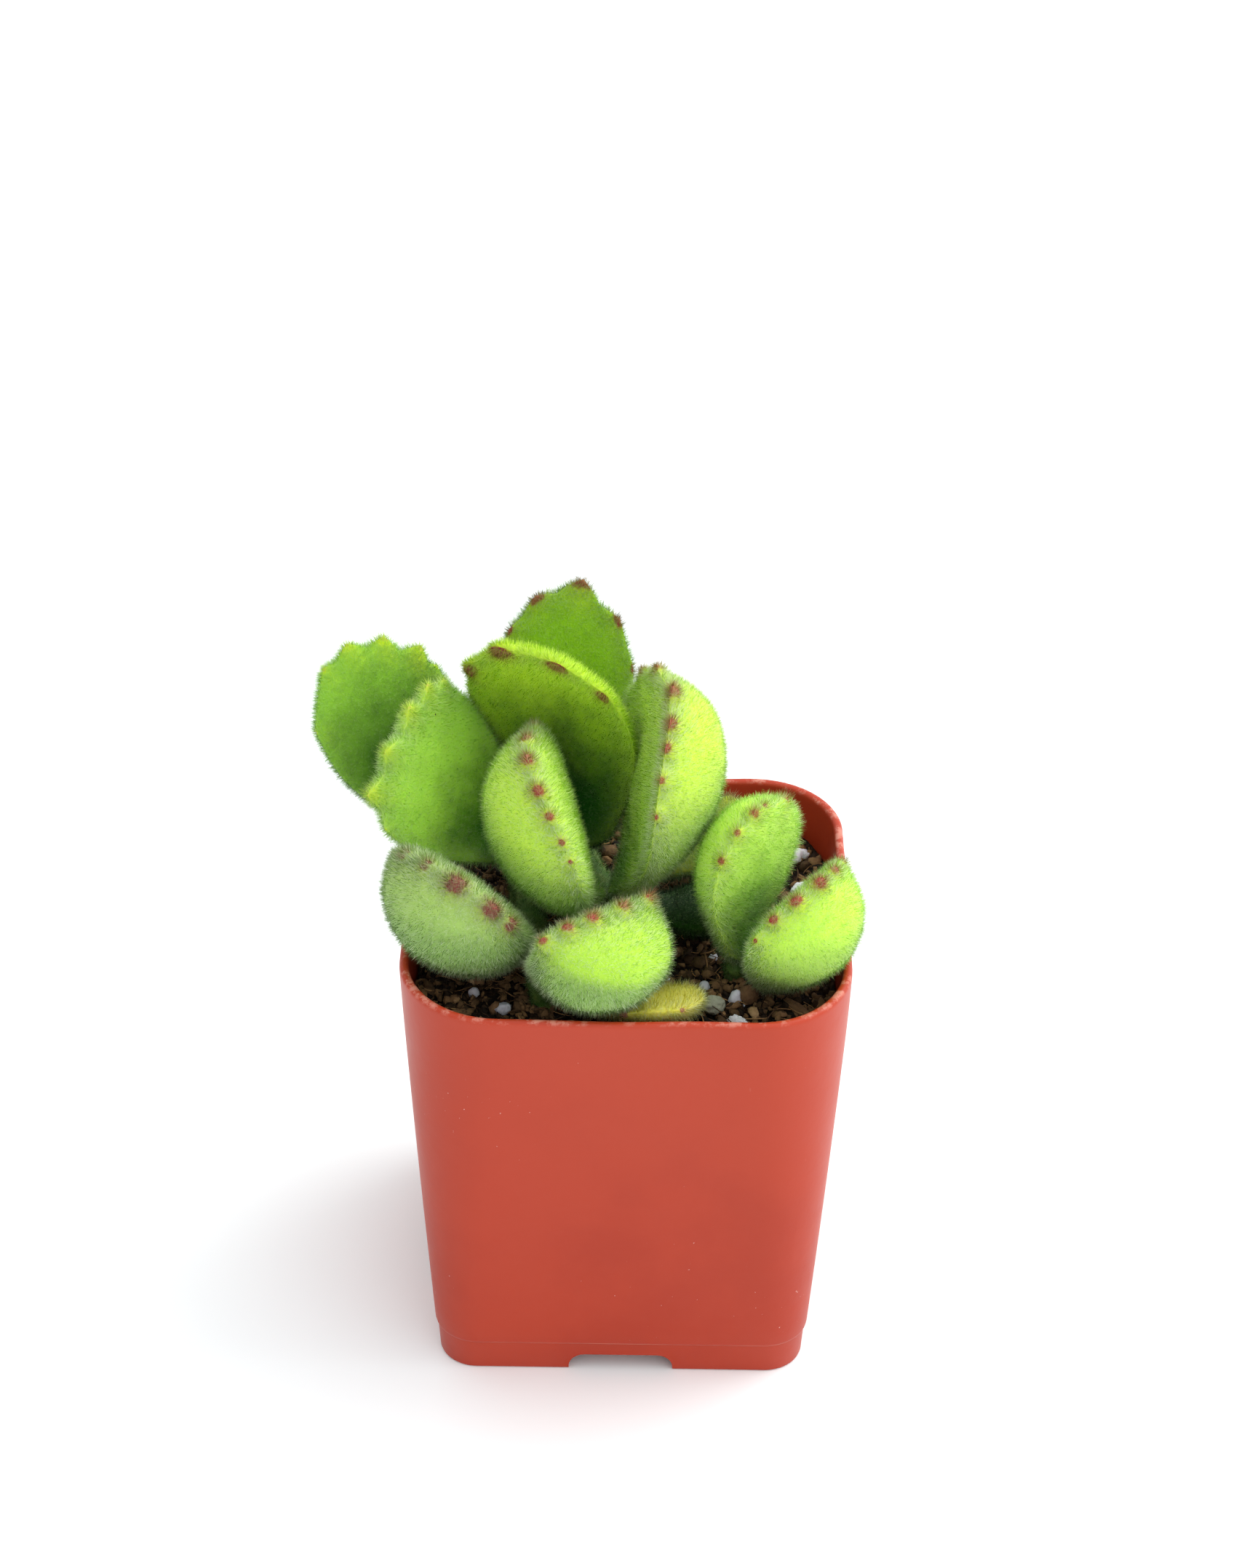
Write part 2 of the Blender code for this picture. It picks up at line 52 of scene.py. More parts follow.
def linear(red, green, blue):  # a colour as a screen shows it, in Blender's linear RGBA
    values = np.array([red, green, blue]) / 255
    mixed = np.where(values <= 0.04045, values / 12.92, ((values + 0.055) / 1.055) ** 2.4)
    return (*mixed.tolist(), 1)


# Mesh helpers: arrays of mm points round the pot's axis become objects in metres
def meshObject(name, points, faces, material, attributes=None, smooth=True):
    mesh = bpy.data.meshes.new(name)
    points = (np.asarray(points) + shift) * mm
    faces = np.asarray(faces, dtype=np.int32)
    mesh.vertices.add(len(points))
    mesh.vertices.foreach_set("co", points.astype(np.float32).ravel())
    mesh.loops.add(faces.size)
    mesh.loops.foreach_set("vertex_index", faces.ravel())
    mesh.polygons.add(len(faces))
    mesh.polygons.foreach_set("loop_start", np.arange(0, faces.size, faces.shape[1], dtype=np.int32))
    mesh.update(calc_edges=True)
    for key, values in (attributes or {}).items():
        layer = mesh.attributes.new(key, "FLOAT", "POINT")
        layer.data.foreach_set("value", np.asarray(values, dtype=np.float32))
    if smooth:
        mesh.shade_smooth()
    mesh.materials.append(material)
    obj = bpy.data.objects.new(name, mesh)
    bpy.context.scene.collection.objects.link(obj)
    return obj


def applyModifiers(piece):
    graph = bpy.context.evaluated_depsgraph_get()
    mesh = bpy.data.meshes.new_from_object(piece.evaluated_get(graph))
    piece.modifiers.clear()
    piece.data = mesh


def settle(piece, slot, *nodes):
    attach(piece, "root")
    if nodes:
        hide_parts(*nodes)


def unit(vectors):
    return vectors / np.maximum(np.linalg.norm(vectors, axis=-1, keepdims=True), 1e-9)


def closedFaces(rows, columns):
    # triangles between rows of points that run round, and a fan at each end to the two points after the rows
    row, column = np.meshgrid(np.arange(rows - 1), np.arange(columns), indexing="ij")
    here = row * columns + column
    beside = row * columns + (column + 1) % columns
    quads = np.stack([here, beside, beside + columns, here + columns], axis=-1).reshape(-1, 4)
    ends = np.arange(columns)
    following = (ends + 1) % columns
    last = (rows - 1) * columns
    firstFan = np.stack([np.full(columns, rows * columns), following, ends], axis=1)
    lastFan = np.stack([np.full(columns, rows * columns + 1), last + ends, last + following], axis=1)
    return np.concatenate([quads[:, [0, 1, 2]], quads[:, [0, 2, 3]], firstFan, lastFan])


# Shader helpers
def newMaterial(name):
    material = bpy.data.materials.new(name)
    material.use_nodes = True
    return material, material.node_tree, material.node_tree.nodes["Principled BSDF"]


def newGroup(name, inputs, outputs):  # each socket with its default, a tuple for a colour
    group = bpy.data.node_groups.new(name, "ShaderNodeTree")
    for side, sockets in (("INPUT", inputs), ("OUTPUT", outputs)):
        for label, value in sockets.items():
            kind = "NodeSocketColor" if isinstance(value, tuple) else "NodeSocketFloat"
            group.interface.new_socket(label, in_out=side, socket_type=kind).default_value = value
    return group, group.nodes.new("NodeGroupInput"), group.nodes.new("NodeGroupOutput")


def setInputs(tree, node, **inputs):  # links or sets each input; i0, i1 and so on name one by its place
    for key, value in inputs.items():
        byPlace = key[0] == "i" and key[1:].isdigit()
        socket = node.inputs[int(key[1:]) if byPlace else key.replace("_", " ")]
        if isinstance(value, bpy.types.NodeSocket):
            tree.links.new(value, socket)
        else:
            socket.default_value = value


def addNode(tree, kind, settings=None, **inputs):
    node = tree.nodes.new(kind)
    for key, value in (settings or {}).items():
        setattr(node, key, value)
    setInputs(tree, node, **inputs)
    return node


def mixColour(tree, factor, first, second):
    return addNode(tree, "ShaderNodeMix", {"data_type": "RGBA"}, i0=factor, i6=first, i7=second).outputs[2]


def maths(tree, operation, first, second=0.0, third=0.0):
    return addNode(tree, "ShaderNodeMath", {"operation": operation}, i0=first, i1=second, i2=third).outputs[0]


def tinted(tree, body, mask, share, colour):  # lays a share of a colour over the masked part of a surface
    return mixColour(tree, maths(tree, "MULTIPLY", mask, share), body, colour)


def noiseMap(tree, scale, detail=3.0, rough=0.55, stretch=None):
    spot = addNode(tree, "ShaderNodeTexCoord").outputs["Object"]
    if stretch:
        spot = addNode(tree, "ShaderNodeMapping", Vector=spot, Scale=stretch).outputs[0]
    return addNode(tree, "ShaderNodeTexNoise", Vector=spot, Scale=scale, Detail=detail,
                   Roughness=rough).outputs["Fac"]


def window(tree, value, low, high):  # 0 below low, 1 above high, smooth between
    return addNode(tree, "ShaderNodeMapRange", {"interpolation_type": "SMOOTHSTEP"},
                   Value=value, i1=low, i2=high).outputs[0]


def attribute(tree, name):
    return addNode(tree, "ShaderNodeAttribute", {"attribute_name": name}).outputs["Fac"]


def bumps(tree, height, distance, strength=1.0):
    bump = addNode(tree, "ShaderNodeBump", Height=height, Distance=distance, Strength=strength)
    return bump.outputs["Normal"]


# Groups shared by several materials
plain = (0.2, 0.4, 0.1, 1)  # a colour socket's value before a material gives its own


def mottleGroup():  # cloudy change between two colours
    group, source, sink = newGroup(
        "mottle", dict(Colour=plain, Other=plain, Scale=200.0, Low=0.4, High=0.65),
        dict(Colour=plain, Mask=0.0))
    cloud = noiseMap(group, source.outputs["Scale"], 4.0, 0.6)
    mask = window(group, cloud, source.outputs["Low"], source.outputs["High"])
    mixed = mixColour(group, mask, source.outputs["Colour"], source.outputs["Other"])
    setInputs(group, sink, Colour=mixed, Mask=mask)
    return group


def fleckGroup():  # sparse specks, as of dust or scuffing
    group, source, sink = newGroup(
        "flecks", {"Scale": 900.0, "Share": 0.7, "Patch Scale": 60.0}, {"Mask": 0.0})
    fine = noiseMap(group, source.outputs["Scale"], 2.0, 0.5)
    patch = noiseMap(group, source.outputs["Patch Scale"], 2.0, 0.5)
    raised = maths(group, "MULTIPLY_ADD", patch, 0.35, fine)
    high = maths(group, "ADD", source.outputs["Share"], 0.06)
    setInputs(group, sink, Mask=window(group, raised, source.outputs["Share"], high))
    return group


groups = {"mottle": mottleGroup(), "flecks": fleckGroup()}


def place(tree, name, **inputs):
    return addNode(tree, "ShaderNodeGroup", {"node_tree": groups[name]}, **inputs).outputs


# Leaves: the outlines and places of the solids, with finer faces, drawn-out teeth and a velvet skin
leafShape = dict(neck=2.2, widest=0.62, cap=0.06, fullness=0.85, stations=256, rings=18, crowding=1.6)
toothShapes = {"pointed": (1.0, 1.4), "nub": (2.0, 1.6)}  # how a tooth's height falls away from its tip
# A skin goes from deep at the leaf's foot to flesh, past the share of its length given by reach; the deep
# foot is partly the leaf's own colour, partly painted shade
# The skins are lit and shaded copies of one leaf colour: the darker greens are painted shade on leaves that
# stand in shade, the bright limes painted light on lit leaves
lime = dict(deep=(96, 150, 28), flesh=(200, 236, 76), edge=(214, 238, 108), reach=0.4)
lowLime = dict(deep=(58, 108, 22), flesh=(178, 222, 72), edge=(206, 234, 104), reach=0.5)
freshLime = dict(deep=(140, 190, 72), flesh=(198, 238, 80), edge=(216, 240, 104), reach=0.45)
rightLime = dict(deep=(24, 100, 0), flesh=(196, 242, 84), edge=(214, 242, 110), reach=0.64)
lowGreen = dict(deep=(108, 142, 72), flesh=(170, 204, 108), edge=(192, 216, 128), reach=0.45)
midGreen = dict(deep=(20, 104, 0), flesh=(188, 240, 84), edge=(190, 224, 106), reach=0.66)
topGreen = dict(deep=(60, 126, 6), flesh=(128, 180, 14), edge=(160, 196, 50), reach=0.7)
shadedDarkGreen = dict(deep=(0, 62, 0), flesh=(158, 218, 60), edge=(152, 204, 70), reach=1.35)
deepShadeGreen = dict(deep=(4, 40, 0), flesh=(18, 62, 2), edge=(40, 84, 10), reach=0.9)
olive = dict(deep=(0, 84, 0), flesh=(196, 236, 0), edge=(176, 204, 84), reach=0.95)
yellowed = dict(deep=(160, 154, 48), flesh=(222, 214, 72), edge=(228, 224, 104), reach=0.5)
backGreen = dict(deep=(40, 92, 10), flesh=(120, 150, 36), edge=(214, 210, 96), reach=0.6)
maroon = (136, 42, 48)
rose = (164, 66, 60)
# In each leaf, one share sets both the pale tips of its hair and the painted grey shade on its down-facing
# parts
leaves = {
    "leafLeftBack": dict(
        node="leaf_left_back", slot="leaf_dark", base=(-16.4, 6.9, 59.8), turn=-64, rise=39, roll=36,
        length=29.2, width=17.6, back=4.3, front=1.3, bend=0.24, cup=0.59, tooth=1.7, flare=2.7,
        teeth=(-0.24, -0.04, 0.06, 0.17, 0.285, 0.36), sizes=(0.25, 0.55, 0.95, 1.05, 1.0, 0.4),
        kind="pointed", skin=shadedDarkGreen, toothColour=(198, 226, 48), stain=1.05, stainSize=1.0, frost=0.14),
    "leafLeftFront": dict(
        node="leaf_left_front", slot="leaf_mid", base=(-12.6, 3.6, 60.0), turn=-76, rise=33, roll=28,
        length=24.8, width=20.4, back=2.9, front=0.9, bend=0.95, cup=-0.94, tooth=2.4, flare=2.7,
        teeth=(-0.4, -0.266, -0.133, 0.01, 0.12, 0.22), sizes=(0.2, 1.0, 0.9, 1.1, 1.1, 0.7),
        kind="pointed", skin=midGreen, toothColour=(206, 230, 74), stain=0.9, frost=0.36, longer=1.1),
    "leafCentre": dict(
        node="leaf_centre", slot="leaf_mid", base=(-5.6, 5.7, 59.5), turn=-4, rise=72, roll=37,
        length=31.5, width=21.0, back=3.0, front=0.7, bend=0.93, cup=0.86, tooth=1.4, flare=2.4,
        teeth=(-0.25, -0.05, 0.133, 0.297), sizes=(0.8, 1.0, 0.4, 0.35), stains=(0.9, 1.2, 1.0, 0.8),
        kind="nub", skin=olive, toothColour=maroon, stain=1.2, smear=1.9, stainInside=0.7,
        stainSize=0.85, stainBelow=0.0, leftSwell=0.16, footPower=0.85, frost=0.16),
    "leafTop": dict(
        node="leaf_top", slot="leaf_mid", base=(-6.7, 10.8, 59.5), turn=-12, rise=65, roll=-4,
        length=29.2, width=16.6, back=3.4, front=0.5, bend=0.21, cup=0.87, tooth=2.6, flare=3.4,
        teeth=(-0.22, -0.086, 0.055, 0.219, 0.398), sizes=(0.3, 0.42, 0.8, 0.28, 0.1),
        stains=(0.6, 0.9, 0.9, 0.9, 0.6), kind="pointed", skin=topGreen, toothColour=maroon, stain=1.0,
        smear=1.5, stainSize=0.85, frost=0.25),
    "leafRightTall": dict(
        node="leaf_right_tall", slot="leaf_lime", base=(-0.3, -2.4, 58.3), turn=77, rise=80, roll=4,
        length=28.9, width=23.8, back=8.5, front=0.6, bend=0.01, cup=2.35, tooth=1.1, flare=1.7,
        teeth=(-0.234, -0.13, 0.047, 0.164, 0.235, 0.325, 0.43), sizes=(0.8, 1.0, 1.3, 1.2, 0.85, 0.65, 0.5),
        kind="nub", skin=lime, toothColour=rose, stain=1.0, frost=0.65),
    "leafFrontTall": dict(
        node="leaf_front_tall", slot="leaf_lime", base=(-4.6, -1.4, 56.6), turn=-128, rise=63, roll=29,
        length=26.0, width=24.2, back=7.4, front=3.2, bend=0.18, cup=2.55, tooth=1.0, flare=1.6,
        teeth=(-0.344, -0.28, -0.195, -0.109, 0.0, 0.13, 0.3),
        sizes=(0.35, 0.5, 0.75, 1.1, 1.15, 0.95, 0.7), kind="nub", skin=freshLime, toothColour=rose,
        stain=1.0, tipPower=0.75, frost=0.6, longer=1.1),
    "leafRight": dict(
        node="leaf_right", slot="leaf_lime", base=(13.3, -9.6, 54.4), turn=48, rise=81, roll=-101,
        length=20.8, width=16.4, back=6.3, front=1.4, bend=0.09, cup=0.09, tooth=0.9, flare=1.4,
        teeth=(-0.336, -0.211, -0.1, -0.03, 0.125), sizes=(0.7, 0.7, 0.85, 0.5, 0.7),
        kind="nub", skin=rightLime, toothColour=(160, 82, 50), stain=0.95, frost=0.4),
    "leafFarRight": dict(
        node="leaf_far_right", slot="leaf_lime", base=(17.1, -10.8, 51.7), turn=135, rise=69, roll=-8,
        length=19.4, width=17.0, back=7.3, front=1.9, bend=-0.07, cup=1.39, tooth=0.95, flare=1.5,
        teeth=(-0.258, -0.094, 0.023, 0.152, 0.266, 0.383), sizes=(0.7, 0.8, 1.2, 1.15, 0.85, 0.4),
        kind="nub", skin=rightLime, toothColour=rose, stain=0.95, frost=0.55),
    "leafLeftLow": dict(
        node="leaf_left_low", slot="leaf_mid", base=(-13.1, -4.7, 53.4), turn=-140, rise=40, roll=3,
        length=23.5, width=19.5, back=8.3, front=2.5, bend=0.32, cup=0.37, tooth=0.8, flare=1.7,
        teeth=(-0.36, -0.266, -0.117, 0.02, 0.148), sizes=(0.7, 0.9, 1.1, 0.45, 0.4), kind="nub",
        skin=lowGreen, toothColour=(150, 74, 72), stain=0.95, smear=1.5, stainSize=0.9, stainInside=0.4,
        frost=0.9, longer=1.25),
    "leafFrontLow": dict(
        node="leaf_front_low", slot="leaf_lime", base=(-10.4, -14.7, 57.7), turn=130, rise=13, roll=11,
        length=14.9, width=18.8, back=9.0, front=1.9, bend=1.1, cup=1.42, tooth=1.0, flare=1.6,
        widest=0.78, teeth=(-0.28, -0.06, 0.125, 0.255, 0.367), sizes=(1.0, 1.0, 1.0, 0.85, 0.6),
        kind="nub", skin=lowLime, toothColour=(176, 70, 66), stain=1.0, frost=0.9, longer=1.15),
    "leafYellow": dict(
        node="leaf_yellow", slot="leaf_yellow", base=(-3.4, -17.5, 52.4), turn=104, rise=20, roll=17,
        length=13.1, width=10.3, back=2.4, front=0.7, bend=-0.21, cup=0.35, tooth=0.5, flare=1.5,
        teeth=(-0.56, -0.31, 0.2, 0.586), sizes=(1.0, 0.7, 0.4, 1.0), kind="nub", skin=yellowed,
        toothColour=(176, 108, 96), stain=0.85, frost=0.4),
    "leafShaded": dict(
        node="leaf_shaded", slot="leaf_dark", base=(3.0, 0.1, 54.2), turn=94, rise=6, roll=0,
        length=11.6, width=11.0, back=3.2, front=1.0, bend=0.3, cup=0.4, tooth=0.8, flare=1.5,
        teeth=(-0.3, -0.1, 0.1, 0.3), kind="nub", skin=deepShadeGreen, toothColour=maroon, stain=0.6,
        frost=0.03),
    "leafRightBack": dict(
        node="leaf_right_back", slot="leaf_yellow", base=(2.5, 8.0, 55.0), turn=62, rise=14, roll=0,
        length=14.0, width=12.0, back=3.2, front=1.1, bend=0.3, cup=0.5, tooth=0.8, flare=1.5,
        teeth=(-0.3, -0.1, 0.1, 0.3), kind="nub", skin=backGreen, toothColour=(150, 90, 60), stain=0.6,
        frost=0.3),
    "leafBack": dict(
        node="leaf_back", slot="leaf_dark", base=(-12.4, 9.8, 54.9), turn=-12, rise=30, roll=0,
        length=16.0, width=12.5, back=3.2, front=1.1, bend=0.3, cup=0.5, tooth=0.8, flare=1.5,
        teeth=(-0.3, -0.15, 0.0, 0.15, 0.3), kind="nub", skin=shadedDarkGreen, toothColour=maroon, stain=0.8,
        frost=0.3),
}


def halfWidth(leaf, share):
    widest = leaf.get("widest", leafShape["widest"])
    half = leaf["width"] / 2
    neck = leafShape["neck"]
    power = leaf.get("footPower", 1.3)
    rising = neck + (half - neck) * np.sin(np.pi / 2 * np.clip(share / widest, 0, 1)) ** power
    past = np.clip((share - widest) / (1 - widest), 0, 1)
    width = np.where(share < widest, rising, half * (1 - past ** 2) ** leaf.get("tipPower", 0.5))
    cap = np.sqrt(np.clip(1 - (1 - np.clip(share / leafShape["cap"], 0, 1)) ** 2, 0, 1))
    return width * np.where(share < leafShape["cap"], cap, 1)


def leafEdge(leaf):
    # evenly spaced points round the outline, their places from -1 to 1, and half the way round in mm
    shares = (1 - np.cos(np.linspace(0, np.pi, 400))) / 2
    widths = halfWidth(leaf, shares)
    left = np.stack([-widths, shares * leaf["length"]], axis=1)
    path = np.vstack([left, left[::-1][1:] * (-1, 1)])
    along = np.concatenate([[0.0], np.cumsum(np.linalg.norm(np.diff(path, axis=0), axis=1))])
    places = np.linspace(-1, 1, leafShape["stations"], endpoint=False)
    runs = (places + 1) / 2 * along[-1]
    edge = np.stack([np.interp(runs, along, path[:, axis]) for axis in (0, 1)], axis=1)
    return edge, places, along[-1] / 2


def leafFrame(leaf):
    angles = [math.radians(leaf[key]) for key in ("turn", "rise", "roll")]
    turned = Matrix.Rotation(-angles[0], 3, "Z") @ Matrix.Rotation(angles[1], 3, "X")
    return np.array(turned @ Matrix.Rotation(-angles[2], 3, "Y"))


def leafThickness(leaf, flat):
    # how far the upper and lower skins stand off the leaf's middle plane
    share = np.clip(flat[..., 1] / leaf["length"], 0, 1)
    halfs = np.maximum(halfWidth(leaf, share), 1e-6)
    across = np.sqrt(np.clip(1 - (flat[..., 0] / halfs) ** 2, 0, 1))
    full = (halfs / (leaf["width"] / 2)) ** leafShape["fullness"]
    front = leaf["front"] * full
    stalk = np.clip(leafShape["neck"] - front, 0, None) * np.clip(1 - share / 0.25, 0, 1)
    return (front + stalk) * across, -leaf["back"] * full * across, across


def bentLeaf(leaf, local):
    share = np.clip(local[:, 1] / leaf["length"], 0, 1)
    cupped = local[:, 2] + leaf["cup"] * (local[:, 0] / (leaf["width"] / 2)) ** 2 * share
    curve = leaf["bend"] / leaf["length"]
    angle = curve * local[:, 1]
    bent = np.stack([
        local[:, 0],
        np.sin(angle) / curve - np.sin(angle) * cupped,
        (1 - np.cos(angle)) / curve + np.cos(angle) * cupped], axis=1)
    return bent @ leafFrame(leaf).T + np.array(leaf["base"])


def leafFace(leaf, flat, height, outward, gaps, random, stained=1.0):
    # one face of the leaf: its points with the teeth drawn out of the margin, and its masks
    skin = np.concatenate([flat, height[..., None]], axis=-1)
    steps = np.linalg.norm(np.diff(skin, axis=0), axis=-1)
    inside = np.concatenate([np.cumsum(steps[::-1], axis=0)[::-1], np.zeros((1, flat.shape[1]))])
    power, fall = toothShapes[leaf["kind"]]
    reach = np.hypot(gaps[None], inside[..., None])
    near = np.clip(reach / leaf["flare"], 0, 1)
    # teeth are largest near the leaf's tip, unless the leaf lists its own sizes
    furthest = np.abs(leaf["teeth"]).max()
    size = np.array(leaf.get("sizes", 1.1 - 0.6 * np.abs(leaf["teeth"]) / furthest))
    size = size * random.uniform(0.92, 1.08, len(size))
    spread = np.clip(leaf.get("stains", size), 0.3, 1.3)
    drawn = ((1 - near ** power) ** fall * size).max(axis=-1) * leaf["tooth"]
    skin[..., :2] += outward[None] * drawn[..., None]
    smeared = np.hypot(gaps[None] / leaf.get("smear", 1.0), inside[..., None] - leaf.get("stainInside", 0.0))
    spots = np.exp(-(smeared / (leaf.get("stainSize", 0.85) * spread)) ** 2)
    masks = {
        "rim": np.exp(-inside / 1.5),
        "tip": spots.max(axis=-1) * stained,
        "halo": (np.exp(-(reach / 1.8) ** 2) * np.clip(size, 0, 1)).max(axis=-1),
    }
    return skin, masks


def underside(points, faces):  # how far each point faces down, 0 where it looks up and 1 where it looks down: the mask of painted shade
    corners = points[faces]
    cross = np.cross(corners[:, 1] - corners[:, 0], corners[:, 2] - corners[:, 0])
    normals = np.zeros_like(points)
    for corner in range(3):
        np.add.at(normals, faces[:, corner], cross)
    return np.clip(0.45 - unit(normals)[:, 2], 0, 1)


def leafSurface(leaf, seed):
    # points and triangles of one leaf, from the middle of its upper face round the margin to the lower
    edge, places, halfRun = leafEdge(leaf)
    rings = leafShape["rings"]
    middle = np.array([0.0, leaf["length"] / 2])
    tangent = unit(np.roll(edge, -1, axis=0) - np.roll(edge, 1, axis=0))
    outward = np.stack([-tangent[:, 1], tangent[:, 0]], axis=1)
    gaps = np.abs(places[:, None] - np.array(leaf["teeth"])[None, :]) * halfRun
    steps = np.linspace(0, 1, rings + 1)[1:]
    spread = np.sin(np.pi / 2 * (1 - (1 - steps) ** leafShape["crowding"]))
    flat = middle + spread[:, None, None] * (edge - middle)[None]
    front, back, across = leafThickness(leaf, flat)
    ripple = 0.1 * np.sin(0.9 * flat[..., 0] + seed) * np.sin(0.7 * flat[..., 1] + 2 * seed) * across
    upper, upperMasks = leafFace(leaf, flat, front + ripple, outward, gaps, np.random.default_rng(seed))
    lower, lowerMasks = leafFace(leaf, flat, back + ripple, outward, gaps, np.random.default_rng(seed),
                                 leaf.get("stainBelow", 1.0))
    centre = np.array([[*middle, front[0].mean()], [*middle, back[0].mean()]])
    local = np.concatenate([upper.reshape(-1, 3), lower[:-1][::-1].reshape(-1, 3), centre])
    faces = closedFaces(2 * rings - 1, leafShape["stations"])
    masks = {key: np.concatenate([upperMasks[key].ravel(), lowerMasks[key][:-1][::-1].ravel(), [0, 0]])
             for key in upperMasks}
    masks["along"] = np.clip(local[:, 1] / leaf["length"], 0, 1)
    swell = leaf.get("leftSwell", 0.0) * np.sin(np.pi * masks["along"]) ** 2
    local[:, 0] *= np.where(local[:, 0] < 0, 1 + swell, 1)
    points = bentLeaf(leaf, local)
    masks["under"] = underside(points, faces)
    return points, faces, masks


# Among the leaf marks, a dull grey-green is painted shade on parts that face down
leafMarks = dict(halo=linear(208, 226, 50), shadeGrey=linear(128, 164, 86), wearAndHighlight=linear(190, 120, 104),
                 down=(0.62, 0.78, 0.4, 1), speck=(0.03, 0.02, 0.012, 1))


def leafToneGroup():  # deep green at the leaf's foot, partly painted shade, its flesh colour past Reach, then painted grey shade where it faces down, for skin and hair alike
    group, source, sink = newGroup(
        "leafTone", dict(Deep=plain, Flesh=plain, Reach=0.6, Frost=0.5), dict(Colour=plain))
    out = source.outputs
    cloud = maths(group, "SUBTRACT", noiseMap(group, 180.0, 4.0, 0.6), 0.5)
    drift = maths(group, "MULTIPLY_ADD", cloud, 0.5, attribute(group, "along"))
    raised = maths(group, "MULTIPLY_ADD", attribute(group, "rim"), 0.35, drift)
    start = maths(group, "MULTIPLY", out["Reach"], 0.25)
    tone = mixColour(group, window(group, raised, start, out["Reach"]), out["Deep"], out["Flesh"])
    # painted shade: parts that face down turn a duller grey-green, where less light falls
    paintedShade = maths(group, "MULTIPLY", window(group, attribute(group, "under"), 0.05, 0.8), out["Frost"])
    setInputs(group, sink, Colour=mixColour(group, paintedShade, tone, leafMarks["shadeGrey"]))
    return group


groups["leafTone"] = leafToneGroup()


def leafSkinGroup():  # the tone, a pale rim, a halo and a ragged stain at each tooth with a painted highlight at its centre, then down and specks
    group, source, sink = newGroup(
        "leafSkin",
        dict(Deep=plain, Flesh=plain, Edge=plain, Tooth=plain, Halo=plain, Stain=1.0, Reach=0.6, Frost=0.5),
        dict(Colour=plain, Height=0.0, Roughness=0.5))
    out = source.outputs
    body = place(group, "leafTone", Deep=out["Deep"], Flesh=out["Flesh"], Reach=out["Reach"],
                 Frost=out["Frost"])["Colour"]
    body = tinted(group, body, attribute(group, "rim"), 0.6, out["Edge"])
    body = tinted(group, body, attribute(group, "halo"), 0.55, out["Halo"])
    stain = maths(group, "MULTIPLY", attribute(group, "tip"), out["Stain"])
    ragged = maths(group, "MULTIPLY_ADD", noiseMap(group, 1100.0, 3.0, 0.65), 0.6, stain)
    body = mixColour(group, window(group, ragged, 0.6, 1.0), body, out["Tooth"])
    # painted highlight: a pale pink at the centre of each tooth's stain, where the raised nub catches light
    body = tinted(group, body, window(group, ragged, 1.08, 1.3), 0.5, leafMarks["wearAndHighlight"])
    down = noiseMap(group, 3200.0, 2.0, 0.7)
    body = tinted(group, body, window(group, down, 0.5, 0.72), 0.1, leafMarks["down"])
    specks = place(group, "flecks", Scale=1300.0, Share=0.94)["Mask"]
    body = mixColour(group, specks, body, leafMarks["speck"])
    cloud = noiseMap(group, 180.0, 4.0, 0.6)
    setInputs(group, sink, Colour=body, Height=down, Roughness=window(group, cloud, -1.2, 1.6))
    return group


groups["leafSkin"] = leafSkinGroup()


def leafMaterial(name, leaf):
    material, tree, shader = newMaterial(name + "Skin")
    skin = leaf["skin"]
    outputs = place(
        tree, "leafSkin", Deep=linear(*skin["deep"]), Flesh=linear(*skin["flesh"]),
        Edge=linear(*skin["edge"]), Tooth=linear(*leaf["toothColour"]), Halo=leafMarks["halo"],
        Stain=leaf["stain"], Reach=skin["reach"], Frost=leaf["frost"])
    setInputs(
        tree, shader, Base_Color=outputs["Colour"], Roughness=outputs["Roughness"],
        Subsurface_Weight=0.3, Subsurface_Radius=(0.6, 1.0, 0.15), Subsurface_Scale=1.6 * mm,
        Sheen_Weight=0.22, Sheen_Roughness=0.35, Sheen_Tint=(0.82, 0.96, 0.66, 1),
        Specular_IOR_Level=0.15, Normal=bumps(tree, outputs["Height"], 0.25 * mm, 0.6))
    return material


# Velvet hair: one slim blade each, rooted all over the skin and thicker along the margins
hair = dict(perSquareMm=40, length=0.58, lengthSpread=0.4, halfWidth=0.025, lean=0.75, wild=0.55, combed=0.5,
            seat=0.04, mostBlades=60000, rimDensity=2.6, rimLonger=0.5, pale=(216, 230, 192))


def hairMaterial(name, skin, frost, stained=maroon):
    # each hair goes from the skin's colour, with its painted shade on down-facing parts, at its root to pale
    # at its tip; one share sets both the pale tips and that painted shade
    material, tree, shader = newMaterial(name + "Down")
    root = place(tree, "leafTone", Deep=linear(*skin["deep"]), Flesh=linear(*skin["flesh"]),
                 Reach=skin["reach"], Frost=frost)["Colour"]
    rising = maths(tree, "MULTIPLY_ADD", attribute(tree, "tone"), 0.5, attribute(tree, "reach"))
    rimmed = maths(tree, "MULTIPLY_ADD", attribute(tree, "rim"), frost, frost)
    frosting = maths(tree, "MULTIPLY", window(tree, rising, 0.1, 1.2), maths(tree, "MINIMUM", rimmed, 0.95))
    colour = mixColour(tree, frosting, root, linear(*hair["pale"]))
    colour = tinted(tree, colour, attribute(tree, "tip"), 0.75, linear(*stained))
    setInputs(tree, shader, Base_Color=colour, Roughness=0.7, Specular_IOR_Level=0.15)
    return material


